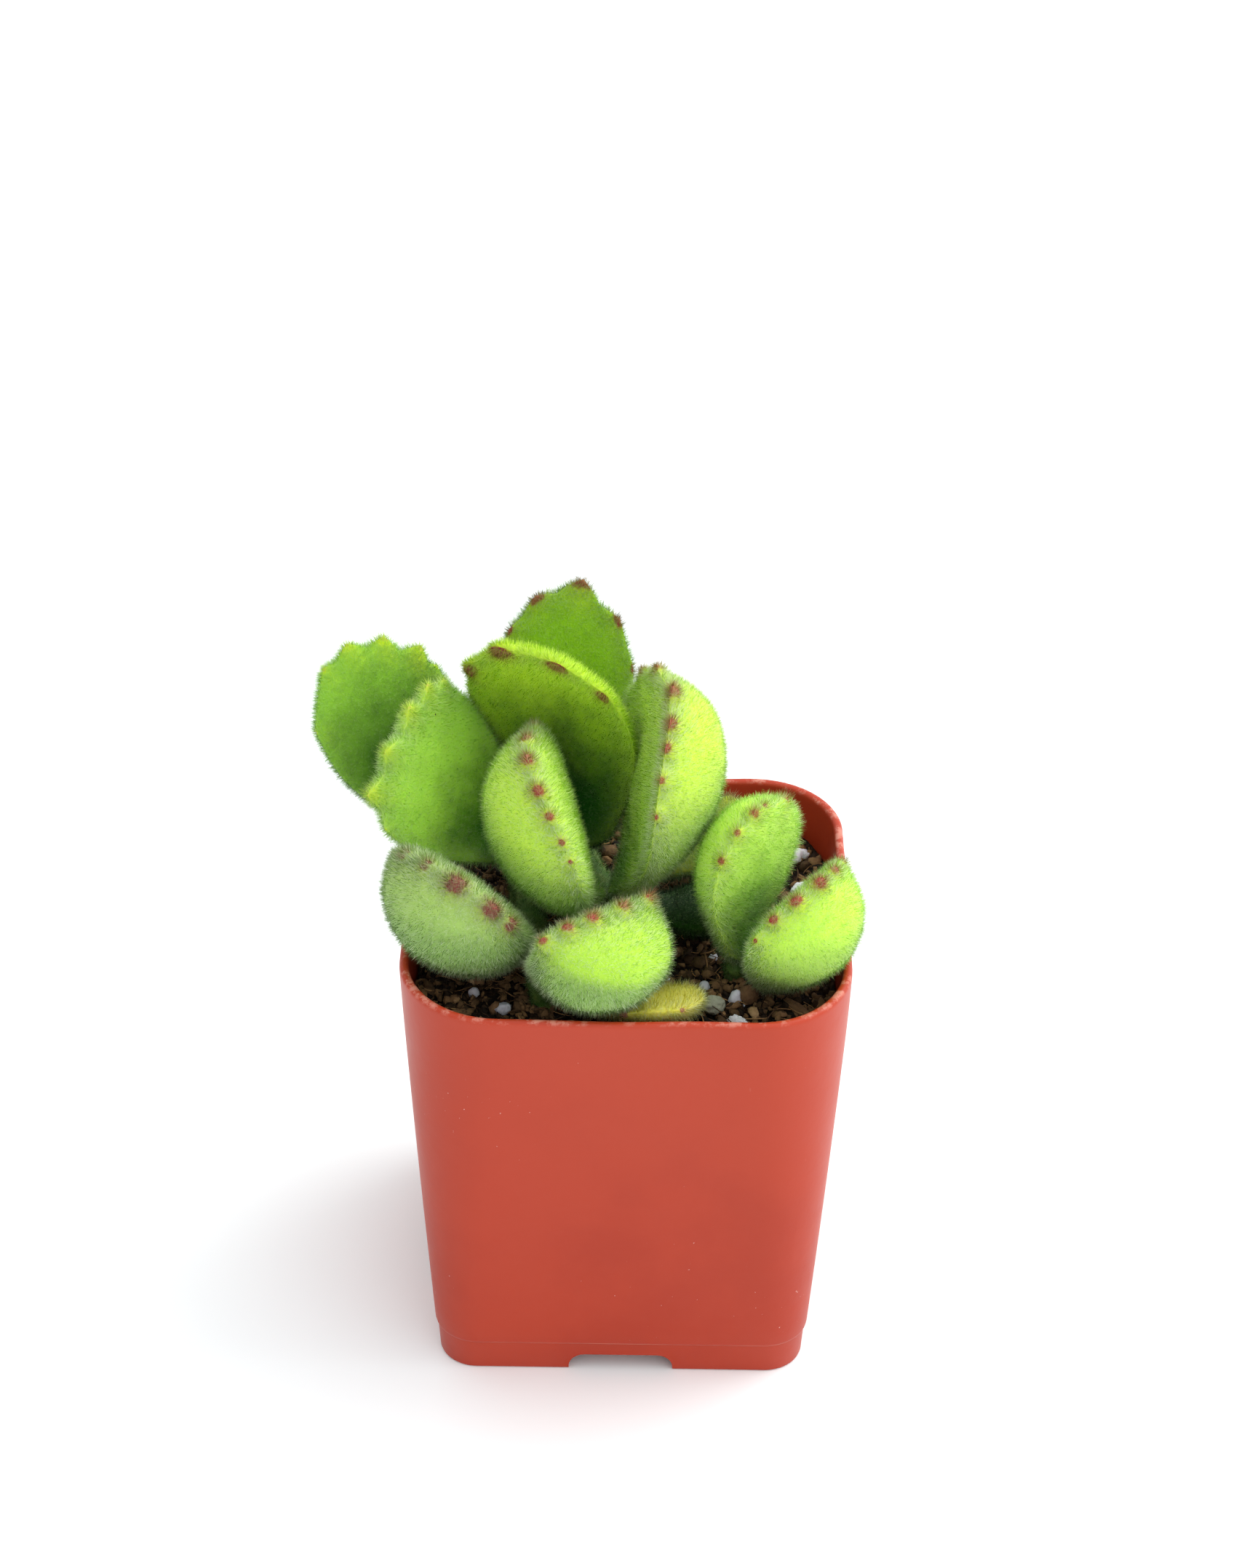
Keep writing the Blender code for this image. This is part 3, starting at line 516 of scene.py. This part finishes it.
def growHair(name, points, faces, masks, seed, comb, material, density=1.0, longer=1.0):
    # blades rooted over the faces, leaning along comb, denser and longer near the rim
    random = np.random.default_rng(seed)
    corners = points[faces]
    cross = np.cross(corners[:, 1] - corners[:, 0], corners[:, 2] - corners[:, 0])
    area = np.linalg.norm(cross, axis=1) / 2
    rim = masks["rim"][faces].mean(axis=1)
    weight = area * (0.8 + hair["rimDensity"] * rim)
    count = min(int(area.sum() * hair["perSquareMm"] * density), hair["mostBlades"])
    chosen = random.choice(len(faces), count, p=weight / weight.sum())
    mix = random.dirichlet((1, 1, 1), count)
    root = (corners[chosen] * mix[..., None]).sum(axis=1)
    normal = unit(cross[chosen])
    wild = random.normal(size=(count, 3))
    direction = unit(normal + hair["lean"] * (hair["wild"] * wild + hair["combed"] * np.asarray(comb)))
    inward = (direction * normal).sum(axis=1, keepdims=True)
    direction = unit(direction + normal * np.clip(0.35 - inward, 0, None))
    length = hair["length"] * longer * (1 + hair["lengthSpread"] * random.normal(size=(count, 1)))
    length = np.clip(length, 0.15, 1.1) * (1 + hair["rimLonger"] * rim[chosen][:, None])
    # every blade turns its flat side outward, and is shaded nearly as the skin under it
    side = unit(np.cross(direction, normal + 0.3 * random.normal(size=(count, 3)))) * hair["halfWidth"]
    side *= np.where((np.cross(side, direction) * normal).sum(axis=1, keepdims=True) < 0, -1, 1)
    root = root - normal * hair["seat"]
    blades = np.stack([root - side, root + side, root + direction * length], axis=1).reshape(-1, 3)
    triangles = np.arange(3 * count).reshape(-1, 3)
    shading = np.repeat(unit(normal + 0.35 * unit(np.cross(side, direction))), 3, axis=0)
    marks = {key: np.repeat(masks[key][faces].mean(axis=1)[chosen], 3)
             for key in ("tip", "rim", "along", "under")}
    marks["tone"] = np.repeat(random.random(count), 3)
    marks["reach"] = np.tile((0.0, 0.0, 1.0), count)
    piece = meshObject(name, blades, triangles, material, marks)
    piece.data.normals_split_custom_set_from_vertices(shading)
    return piece, count


def makeLeaves():
    hairs = 0
    for seed, (name, leaf) in enumerate(leaves.items()):
        points, faces, masks = leafSurface(leaf, seed)
        piece = meshObject(name, points, faces, leafMaterial(name, leaf), masks)
        settle(piece, leaf["slot"], leaf["node"])
        comb = leafFrame(leaf)[:, 1]
        down = hairMaterial(name, leaf["skin"], leaf["frost"], leaf["toothColour"])
        fuzz, count = growHair(name + "Hair", points, faces, masks, 100 + seed, comb, down,
                               longer=leaf.get("longer", 1.0))
        settle(fuzz, leaf["slot"])
        hairs += count
    print("leaves made:", len(leaves), "with", hairs, "hairs")


makeLeaves()


# Pot: a finer loft of the solid's section, with a worn, slightly uneven rim
pot = dict(
    height=57.0, footSide=46.0, rimSide=54.0, footRadius=5.0, rimRadius=12.0, wall=1.1, floorUnder=2.8,
    floorTop=4.2, stepHeight=4.6, stepInset=0.25, notchWidth=13.0, notchHeight=2.5, notchCorner=2.0,
    drainRadius=1.8, drainSpread=11.0, sideSteps=14, cornerSteps=14, wobble=0.22, wobbleDepth=12.0)
# upper is a lighter red, painted light on the top of the pot
plastic = dict(red=(174, 54, 27), deepRed=(167, 49, 23), upper=(180, 61, 36), chipped=(236, 178, 160),
               seam=(226, 150, 128), speck=(240, 214, 204), scratch=(226, 172, 158))


def squareRing(halfSide, radius):
    straight = halfSide - radius
    run = np.linspace(-straight, straight, pot["sideSteps"], endpoint=False)
    side = np.stack([np.full_like(run, halfSide), run], axis=1)
    angle = np.linspace(0, np.pi / 2, pot["cornerSteps"], endpoint=False)
    corner = np.stack([straight + radius * np.cos(angle), straight + radius * np.sin(angle)], axis=1)
    quarter = np.vstack([side, corner])
    turns = []
    for step in range(4):
        c, s = [(1, 0), (0, 1), (-1, 0), (0, -1)][step]
        turns.append(quarter @ np.array([[c, s], [-s, c]]))
    return np.vstack(turns)


def potRing(z, inset):
    share = z / pot["height"]
    half = (pot["footSide"] + (pot["rimSide"] - pot["footSide"]) * share) / 2 - inset
    radius = pot["footRadius"] + (pot["rimRadius"] - pot["footRadius"]) * share - inset * 0.8
    ring = squareRing(half, radius)
    return np.column_stack([ring, np.full(len(ring), z)])


def potSection():
    # rings from the underside, round the foot, up the outside, over the rim and down the inside
    wall, inset, top = pot["wall"], pot["stepInset"], pot["height"]
    low = [(pot["floorUnder"], wall + inset), (0.25, wall + inset), (0.0, wall + inset - 0.25),
           (0.0, inset + 0.3), (0.12, inset + 0.08), (0.4, inset), (pot["stepHeight"] - 0.35, inset),
           (pot["stepHeight"] - 0.2, inset - 0.03), (pot["stepHeight"], 0.02)]
    heights = np.linspace(pot["stepHeight"] + 0.3, top - 0.9, 22)
    body = [(z, -0.12 * math.sin(math.pi * z / top)) for z in heights]
    rim = [(top - 0.55 + 0.55 * math.sin(angle), wall / 2 - wall / 2 * math.cos(angle))
           for angle in np.linspace(0, math.pi, 9)]
    inside = [(z, wall) for z in np.linspace(top - 1.0, pot["floorTop"] + 1.2, 18)]
    return low + body + rim + inside + [(pot["floorTop"] + 0.3, wall + 0.3), (pot["floorTop"], wall + 1.0)]


def potMaterial():
    material, tree, shader = newMaterial("terracottaPlastic")
    colours = {key: linear(*value) for key, value in plastic.items()}
    body = place(tree, "mottle", Colour=colours["red"], Other=colours["deepRed"], Scale=38.0)["Colour"]
    spot = addNode(tree, "ShaderNodeTexCoord").outputs["Object"]
    height = addNode(tree, "ShaderNodeSeparateXYZ", Vector=spot).outputs["Z"]
    top, seamHeight = pot["height"] * mm, (pot["stepHeight"] + 0.02) * mm
    # painted light: the red grows lighter towards the rim, where more light falls
    body = tinted(tree, body, window(tree, height, 20 * mm, top + 1.0 * mm), 0.7, colours["upper"])
    rimEdge = window(tree, height, top - 0.8 * mm, top - 0.1 * mm)
    chipped = maths(tree, "MULTIPLY", rimEdge, window(tree, noiseMap(tree, 640.0, 4.0, 0.75), 0.46, 0.64))
    body = tinted(tree, body, chipped, 0.45, colours["chipped"])
    seam = maths(tree, "COMPARE", height, seamHeight, 0.07 * mm)
    wearAndHighlight = maths(tree, "MULTIPLY", seam, window(tree, noiseMap(tree, 120.0, 3.0), 0.35, 0.7))
    body = tinted(tree, body, wearAndHighlight, 0.35, colours["seam"])
    specks = place(tree, "flecks", Scale=2100.0, Share=0.965, Patch_Scale=45.0)["Mask"]
    body = tinted(tree, body, specks, 0.6, colours["speck"])
    scratch = window(tree, noiseMap(tree, 900.0, 2.0, 0.5, (1.0, 1.0, 0.25)), 0.75, 0.8)
    body = tinted(tree, body, scratch, 0.14, colours["scratch"])
    satin = maths(tree, "MULTIPLY_ADD", noiseMap(tree, 90.0, 4.0, 0.6), 0.22, 0.3)
    setInputs(tree, shader, Base_Color=body, Roughness=satin, Specular_IOR_Level=0.3,
              Normal=bumps(tree, noiseMap(tree, 700.0, 3.0, 0.5), 0.05 * mm, 0.5))
    return material


def cutFrom(piece, cutter):
    cut = piece.modifiers.new("cut", "BOOLEAN")
    cut.operation = "DIFFERENCE"
    cut.object = cutter
    applyModifiers(piece)
    bpy.data.objects.remove(cutter, do_unlink=True)


def bmeshObject(name, shape):
    mesh = bpy.data.meshes.new(name)
    shape.to_mesh(mesh)
    shape.free()
    obj = bpy.data.objects.new(name, mesh)
    bpy.context.scene.collection.objects.link(obj)
    return obj


def notchCutter(side):
    shape = bmesh.new()
    bmesh.ops.create_cube(shape, size=1.0)
    size = Vector((8.0, pot["notchWidth"], pot["notchHeight"] * 2)) * mm
    bmesh.ops.scale(shape, vec=size, verts=shape.verts)
    long = [e for e in shape.edges if abs(e.verts[0].co.x - e.verts[1].co.x) > 4 * mm]
    bmesh.ops.bevel(shape, geom=long, offset=pot["notchCorner"] * mm, segments=6, affect="EDGES", profile=0.5)
    angle = side * math.pi / 2
    reach = Vector((math.cos(angle), math.sin(angle), 0)) * pot["footSide"] / 2
    turned = Matrix.Translation((reach + Vector(shift)) * mm) @ Matrix.Rotation(angle, 4, "Z")
    bmesh.ops.transform(shape, matrix=turned, verts=shape.verts)
    return bmeshObject("notch", shape)


def drainCutter(x, y):
    shape = bmesh.new()
    radius = pot["drainRadius"] * mm
    bmesh.ops.create_cone(shape, cap_ends=True, segments=24, radius1=radius, radius2=radius, depth=5 * mm)
    middle = (Vector((x, y, 3.5)) + Vector(shift)) * mm
    bmesh.ops.translate(shape, vec=middle, verts=shape.verts)
    return bmeshObject("drain", shape)


def makePot():
    rings = [potRing(z, inset) for z, inset in potSection()]
    points = np.concatenate(rings)
    angle = np.arctan2(points[:, 1], points[:, 0])
    near = np.clip((points[:, 2] - pot["height"]) / pot["wobbleDepth"] + 1, 0, 1) ** 2
    wave = np.sin(3 * angle + 0.7) + 0.6 * np.sin(7 * angle + 2.1)
    points[:, :2] *= (1 + pot["wobble"] * near * wave / pot["rimSide"])[:, None]
    points[:, 2] += pot["wobble"] * near * 0.7 * (np.sin(2 * angle + 1.3) + 0.5 * np.sin(9 * angle) - 1.2)
    points = np.concatenate([points, [[0, 0, pot["floorUnder"]], [0, 0, pot["floorTop"]]]])
    piece = meshObject("terracottaPot", points, closedFaces(len(rings), len(rings[0])), potMaterial())
    for side in range(4):
        cutFrom(piece, notchCutter(side))
    for x, y in ((1, 1), (-1, 1), (-1, -1), (1, -1)):
        cutFrom(piece, drainCutter(x * pot["drainSpread"], y * pot["drainSpread"]))
    shape = bmesh.new()
    shape.from_mesh(piece.data)
    bmesh.ops.remove_doubles(shape, verts=shape.verts, dist=0.002 * mm)
    bmesh.ops.holes_fill(shape, edges=[edge for edge in shape.edges if edge.is_boundary])
    shape.to_mesh(piece.data)
    shape.free()
    piece.data.shade_smooth()
    piece.data.set_sharp_from_angle(angle=math.radians(38))
    settle(piece, "pot", "pot")
    print("pot made")


makePot()


# Soil: a rough bed, then the larger grains, crumbs, chips, perlite and fibres lying on it
soil = dict(
    level=50.5, relief=0.45, low=4.5, inset=1.4, rings=46, grainSink=0.25, crumbs=3600, fibres=650,
    chips=130, smallPerlite=40, seed=7,
    lumps=((-18.2, -13.3), (-14.5, -17.0), (9.4, -11.6), (13.1, -14.3), (22.4, 17.7), (21.2, 16.9)),
    flakes=((-19.4, -9.6), (-18.3, -10.6), (11.6, -16.9), (13.6, -17.6), (15.3, -16.4), (-20.2, -15.0)))
tones = {  # each loose material from its darkest to its lightest
    "perliteWhite": ((198, 202, 212), (244, 246, 252)),
    "pebbleGrey": ((112, 116, 98), (162, 166, 146)),
    "barkBrown": ((58, 40, 24), (142, 110, 76)),
    "peatCrumb": ((22, 15, 8), (136, 106, 70)),
    "dryFlake": ((150, 116, 76), (214, 184, 140)),
    "peatFibre": ((46, 30, 17), (170, 132, 88)),
}
grains = {  # the larger grains: the solid each stands for, its half sizes in mm and its turn in degrees
    "perliteGrains": dict(slot="perlite", look="perliteWhite", rough=0.32, pieces=(
        ("perlite_left", (1.5, 1.1, 0.9), 20), ("perlite_front", (0.9, 0.7, 0.6), 70),
        ("perlite_right", (1.3, 0.8, 0.8), -30), ("perlite_corner", (0.9, 0.8, 0.7), 10),
        ("perlite_back", (1.2, 0.9, 0.8), 40))),
    "pebble": dict(slot="stone", look="pebbleGrey", rough=0.16, pieces=(("stone", (1.4, 1.3, 1.0), 0),)),
    "barkChips": dict(slot="bark", look="barkBrown", rough=0.16, pieces=(
        ("bark_left", (2.6, 0.8, 0.6), 35), ("bark_front", (2.4, 0.7, 0.5), -50),
        ("bark_back", (2.8, 1.0, 0.7), 75))),
}
# Loose bits: half sizes in mm, each raised by the share lift of its own half height
loose = {
    "peatCrumbs": dict(slot="soil", look="peatCrumb", sizes=(0.18, 0.66), lift=0.35, tilt=0.7, rough=0.32,
                       detail=1),
    "barkBits": dict(slot="bark", look="barkBrown", sizes=(0.2, 0.9), lift=0.6, tilt=0.4, rough=0.2,
                     detail=1),
    "perliteBits": dict(slot="perlite", look="perliteWhite", sizes=(0.22, 0.5), lift=0.7, tilt=0.6,
                        rough=0.14, detail=2),
    "perliteLumps": dict(slot="perlite", look="perliteWhite", sizes=(0.6, 1.1), lift=0.9, tilt=0.4,
                         rough=0.12, detail=2),
    "dryFlakes": dict(slot="bark", look="dryFlake", sizes=(0.25, 0.85), lift=1.2, tilt=0.9, rough=0.3,
                      detail=1),
}


def soilHeight(x, y):
    slow = np.sin(0.31 * x + 0.8) * np.cos(0.27 * y - 0.4)
    quick = np.sin(0.83 * x - 0.57 * y + 1.9)
    return soil["level"] + soil["relief"] * (0.6 * slow + 0.4 * quick)


def bedMaterial():
    material, tree, shader = newMaterial("pottingSoil")
    peat = place(tree, "mottle", Colour=linear(24, 16, 10), Other=linear(74, 54, 34), Scale=900.0, Low=0.45,
                 High=0.71)["Colour"]
    setInputs(tree, shader, Base_Color=peat, Roughness=0.9, Specular_IOR_Level=0.2,
              Normal=bumps(tree, noiseMap(tree, 2600.0, 4.0, 0.7), 0.3 * mm))
    return material


def tonedMaterial(name, dark, light):
    # each loose piece has its own tone between two colours, with a fine grain over it
    material, tree, shader = newMaterial(name)
    own = maths(tree, "SUBTRACT", attribute(tree, "tone"), 0.25)
    tone = maths(tree, "MULTIPLY_ADD", noiseMap(tree, 1500.0, 3.0, 0.7), 0.5, own)
    colour = mixColour(tree, window(tree, tone, 0.0, 1.0), linear(*dark), linear(*light))
    setInputs(tree, shader, Base_Color=colour, Roughness=0.85, Specular_IOR_Level=0.25,
              Normal=bumps(tree, noiseMap(tree, 3000.0, 3.0, 0.7), 0.15 * mm))
    return material


def roughBed(points, strength):  # lumps of several sizes on the soil's surface
    lumps = 0
    for scale, share in ((0.5, 1.0), (1.3, 0.7), (3.1, 0.45)):
        lumps = lumps + share * np.array([noise.noise(Vector(p) * scale) for p in points])
    return points[:, 2] + strength * lumps


def makeSoil():
    low = potRing(soil["low"], soil["inset"] + 1.2)
    wall = [potRing(z, soil["inset"]) for z in (soil["low"] + 1.2, 25.0, soil["level"] - 1.2)]
    edge = potRing(soil["level"], soil["inset"])
    top = []
    for share in np.linspace(1, 0.0, soil["rings"] + 1)[:-1]:
        ring = edge * (share, share, 1)
        ring[:, 2] = soilHeight(ring[:, 0], ring[:, 1])
        ring[:, 2] = roughBed(ring, 0.45 * min(1, (1 - share) * 12 + 0.3))
        top.append(ring)
    rings = [low] + wall + top
    points = np.concatenate([*rings, [[0, 0, soil["low"]], [0, 0, top[-1][:, 2].mean()]]])
    piece = meshObject("soilBed", points, closedFaces(len(rings), len(edge)), bedMaterial())
    settle(piece, "soil", "soil")


def lumpTemplate(subdivisions):
    shape = bmesh.new()
    bmesh.ops.create_icosphere(shape, subdivisions=subdivisions, radius=1.0)
    points = np.array([vert.co[:] for vert in shape.verts])
    faces = np.array([[vert.index for vert in face.verts] for face in shape.faces])
    shape.free()
    return points, faces


def spotsOnSoil(random, count, margin=0.8):
    half = pot["rimSide"] / 2 - pot["wall"] - margin - 0.4
    radius = pot["rimRadius"] - pot["wall"] - margin
    spots = []
    while len(spots) < count:
        spot = random.uniform(-half, half, 2)
        past = np.clip(np.abs(spot) - (half - radius), 0, None)
        if np.hypot(*past) < radius:
            spots.append(spot)
    return np.array(spots)


def turnMatrices(random, count, tilt):  # a lean, then a spin about the upright axis
    spin = random.uniform(0, 2 * np.pi, count)
    lean = random.normal(0, tilt, count)
    about, over = np.zeros((2, count, 3, 3))
    for turn, angle, first, second in ((about, spin, 1, 0), (over, lean, 0, 2)):
        turn[:, first, first] = turn[:, second, second] = np.cos(angle)
        turn[:, first, second] = np.sin(angle)
        turn[:, second, first] = -np.sin(angle)
        turn[:, 3 - first - second, 3 - first - second] = 1
    return about @ over


def scatterLumps(name, kind, spots, material, random):
    # many jittered lumps in one mesh, each lying on the soil
    base, triangles = lumpTemplate(kind["detail"])
    spots = np.asarray(spots)
    count = len(spots)
    size = random.uniform(*kind["sizes"], (count, 3)) * random.lognormal(0, 0.3, (count, 1))
    shapes = base[None] * (1 + kind["rough"] * random.normal(size=(count, len(base), 1)))
    shapes = shapes * size[:, None]
    shapes = np.einsum("nij,nvj->nvi", turnMatrices(random, count, kind["tilt"]), shapes)
    height = soilHeight(spots[:, 0], spots[:, 1]) + kind["lift"] * size[:, 2]
    shapes += np.column_stack([spots, height])[:, None]
    faces = (triangles[None] + np.arange(count)[:, None, None] * len(base)).reshape(-1, 3)
    tone = np.repeat(random.random(count), len(base))
    piece = meshObject(name, shapes.reshape(-1, 3), faces, material, {"tone": tone}, smooth=False)
    settle(piece, kind["slot"])


def scatterFibres(random, material):  # thin curved peat fibres, each a closed three-sided tube
    count, steps = soil["fibres"], 6
    spots = spotsOnSoil(random, count, 1.6)
    heading = random.uniform(0, 2 * np.pi, count)
    curl = random.normal(0, 0.9, count)
    length = random.uniform(1.2, 5.0, count)
    along = np.linspace(-0.5, 0.5, steps)
    angle = heading[:, None] + curl[:, None] * along[None]
    walk = np.stack([np.cos(angle), np.sin(angle)], -1) * (length / steps)[:, None, None]
    track = spots[:, None] + np.cumsum(walk, axis=1) - walk.sum(axis=1, keepdims=True) / 2
    limit = pot["rimSide"] / 2 - pot["wall"] - 1.0
    track = np.clip(track, -limit, limit)
    rise = np.abs(random.normal(0, 0.5, (count, 1))) * (along[None] + 0.5) * length[:, None] * 0.3
    z = soilHeight(track[..., 0], track[..., 1]) + 0.3 + rise + random.uniform(-0.1, 0.4, (count, 1))
    middle = np.concatenate([track, z[..., None]], axis=-1)
    thick = random.uniform(0.05, 0.13, (count, 1, 1)) * (1 - 0.7 * np.abs(along))[None, :, None]
    side = np.stack([-np.sin(angle), np.cos(angle), np.zeros_like(angle)], -1)
    corners = [middle + side * thick, middle - side * thick, middle + np.array([0, 0, 1.4]) * thick]
    points = np.stack(corners, axis=2)
    first = 3 * (steps - 1)
    local = [(0, 1, 2), (first, first + 2, first + 1)]
    for step in range(steps - 1):
        for corner in range(3):
            a, b = step * 3 + corner, step * 3 + (corner + 1) % 3
            local += [(a, b + 3, b), (a, a + 3, b + 3)]
    faces = (np.array(local)[None] + np.arange(count)[:, None, None] * steps * 3).reshape(-1, 3)
    tone = np.repeat(random.random(count), steps * 3)
    piece = meshObject("peatFibres", points.reshape(-1, 3), faces, material, {"tone": tone})
    settle(piece, "soil")


def makeGrains(looks):  # the larger grains where their solids lie, lumpy and pitted
    base, triangles = lumpTemplate(4)
    for name, kind in grains.items():
        for number, (node, size, turn) in enumerate(kind["pieces"]):
            low, high = (np.array(corner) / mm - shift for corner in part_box(node))
            lumps = np.array([noise.noise(Vector(p) * 2.1 + Vector((number, 3, 1)))
                              + 0.5 * noise.noise(Vector(p) * 5.3) for p in base])
            shape = base * (1 + kind["rough"] * lumps[:, None]) * np.array(size)
            spin = np.array(Matrix.Rotation(math.radians(turn), 3, "Z"))
            shape = shape @ spin.T + (low + high) / 2 - (0, 0, soil["grainSink"])
            tone = np.full(len(base), 0.6)
            piece = meshObject(f"{name}{number + 1}", shape, triangles, looks[kind["look"]], {"tone": tone})
            settle(piece, kind["slot"], node)


def dressSoil():
    random = np.random.default_rng(soil["seed"])
    makeSoil()
    looks = {name: tonedMaterial(name, *ends) for name, ends in tones.items()}
    makeGrains(looks)
    crumbs, chips, bits = (spotsOnSoil(random, soil[key]) for key in ("crumbs", "chips", "smallPerlite"))
    spots = dict(peatCrumbs=crumbs, barkBits=chips, perliteBits=bits, perliteLumps=soil["lumps"],
                 dryFlakes=soil["flakes"])
    for name, kind in loose.items():
        scatterLumps(name, kind, spots[name], looks[kind["look"]], random)
    scatterFibres(random, looks["peatFibre"])
    print("soil made, with", len(crumbs), "crumbs")


dressSoil()


# Shoots: the solids' own forms, rounded and haired
shoots = dict(
    nodes=("main_shoot", "left_shoot", "right_shoot", "front_shoot"), voxel=0.3, smooth=8,
    green=(60, 100, 26), pale=(98, 124, 50), down=dict(deep=(46, 84, 14), flesh=(84, 124, 38), reach=0.5),
    frost=0.25, density=0.8)


def shootMaterial():
    material, tree, shader = newMaterial("shootFlesh")
    flesh = place(tree, "mottle", Colour=linear(*shoots["green"]), Other=linear(*shoots["pale"]),
                  Scale=400.0)["Colour"]
    setInputs(tree, shader, Base_Color=flesh, Roughness=0.7, Subsurface_Weight=0.2,
              Subsurface_Scale=1.0 * mm, Normal=bumps(tree, noiseMap(tree, 1800.0, 3.0), 0.2 * mm))
    return material


def makeShoots():
    flesh = shootMaterial()
    down = hairMaterial("shoot", shoots["down"], shoots["frost"])
    hairs = 0
    for seed, node in enumerate(shoots["nodes"]):
        name = node.split("_")[0] + "Shoot"
        piece = bpy.data.objects.new(name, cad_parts[node].data.copy())
        bpy.context.scene.collection.objects.link(piece)
        remesh = piece.modifiers.new("round", "REMESH")
        remesh.mode = "VOXEL"
        remesh.voxel_size = shoots["voxel"] * mm
        ease = piece.modifiers.new("ease", "SMOOTH")
        ease.iterations = shoots["smooth"]
        applyModifiers(piece)
        mesh = piece.data
        mesh.shade_smooth()
        mesh.materials.clear()
        mesh.materials.append(flesh)
        settle(piece, "stem", node)
        mesh.calc_loop_triangles()
        points = np.array([vert.co[:] for vert in mesh.vertices]) / mm - shift
        faces = np.array([triangle.vertices[:] for triangle in mesh.loop_triangles])
        above = points[faces].mean(axis=1)[:, 2] > soil["level"]
        masks = {"rim": np.zeros(len(points)), "tip": np.zeros(len(points)),
                 "along": np.clip((points[:, 2] - soil["level"]) / 10, 0, 1),
                 "under": underside(points, faces)}
        fuzz, count = growHair(name + "Hair", points, faces[above], masks, 300 + seed, (0, 0, 1), down,
                               shoots["density"])
        settle(fuzz, "stem")
        hairs += count
    print("shoots made:", len(shoots["nodes"]), "with", hairs, "hairs")


makeShoots()


# Studio: pale floor, a glow that is stronger from the right and overhead, a key from the upper right and
# a weak light in front. Each light has a place, a size, a power and a tint
studio = dict(
    leftGlow=0.34, rightGlow=1.36, overhead=0.55, floorTone=(0.92, 0.975, 0.99), target=(0, 0, 0.06),
    lights=(("key", (0.62, 0.2, 0.8), 0.75, 4.6, (1.0, 0.985, 0.95)),
            ("front", (0.2, -0.9, 0.45), 0.6, 0.4, (1.0, 1.0, 1.0))))


def makeStudio():
    bpy.ops.mesh.primitive_plane_add(size=8.0, location=(0, 0, 0))
    floor = bpy.context.object
    floor.name = "studioFloor"
    material, tree, shader = newMaterial("paleFloor")
    setInputs(tree, shader, Base_Color=(*studio["floorTone"], 1), Roughness=0.7, Specular_IOR_Level=0.2)
    floor.data.materials.append(material)
    world = bpy.data.worlds.new("studioWorld")
    bpy.context.scene.world = world
    world.use_nodes = True
    sky = world.node_tree
    heading = addNode(sky, "ShaderNodeTexCoord").outputs["Generated"]
    axes = addNode(sky, "ShaderNodeSeparateXYZ", Vector=heading).outputs
    glow = addNode(sky, "ShaderNodeMapRange", Value=axes["X"], i1=-1.0, i2=1.0, i3=studio["leftGlow"],
                   i4=studio["rightGlow"]).outputs[0]
    total = maths(sky, "MULTIPLY_ADD", axes["Z"], studio["overhead"], glow)
    setInputs(sky, sky.nodes["Background"], Color=(1, 1, 1, 1), Strength=total)
    for name, spot, size, power, tint in studio["lights"]:
        light = bpy.data.lights.new(name, "AREA")
        light.size = size
        light.energy = power
        light.color = tint
        lamp = bpy.data.objects.new(name, light)
        lamp.location = spot
        lamp.rotation_euler = (Vector(studio["target"]) - Vector(spot)).to_track_quat("-Z", "Y").to_euler()
        bpy.context.scene.collection.objects.link(lamp)
    bpy.context.scene.view_settings.view_transform = "Standard"


makeStudio()


# Camera, worked out from the pot's rim, corners and foot
camera = dict(aim=(-0.179, 0.0, 72.52), distance=413.33, elevation=32.435, roll=0.838, focalPixels=4744.95,
              framePixels=2156)


def makeCamera():
    elevation = math.radians(camera["elevation"])
    roll = math.radians(camera["roll"])
    right = Vector((1, 0, 0))
    up = Vector((0, math.sin(elevation), math.cos(elevation)))
    forward = Vector((0, math.cos(elevation), -math.sin(elevation)))
    across = right * math.cos(roll) + up * math.sin(roll)
    above = up * math.cos(roll) - right * math.sin(roll)
    data = bpy.data.cameras.new("photoCamera")
    data.sensor_fit = "VERTICAL"
    data.sensor_height = 36.0
    data.lens = camera["focalPixels"] * 36.0 / camera["framePixels"]
    data.clip_start = 0.01
    obj = bpy.data.objects.new("photoCamera", data)
    bpy.context.scene.collection.objects.link(obj)
    eye = (Vector(camera["aim"]) + Vector(shift) - forward * camera["distance"]) * mm
    turned = Matrix((across, above, -forward)).transposed().to_4x4()
    obj.matrix_world = Matrix.Translation(eye) @ turned
    bpy.context.scene.camera = obj


makeCamera()
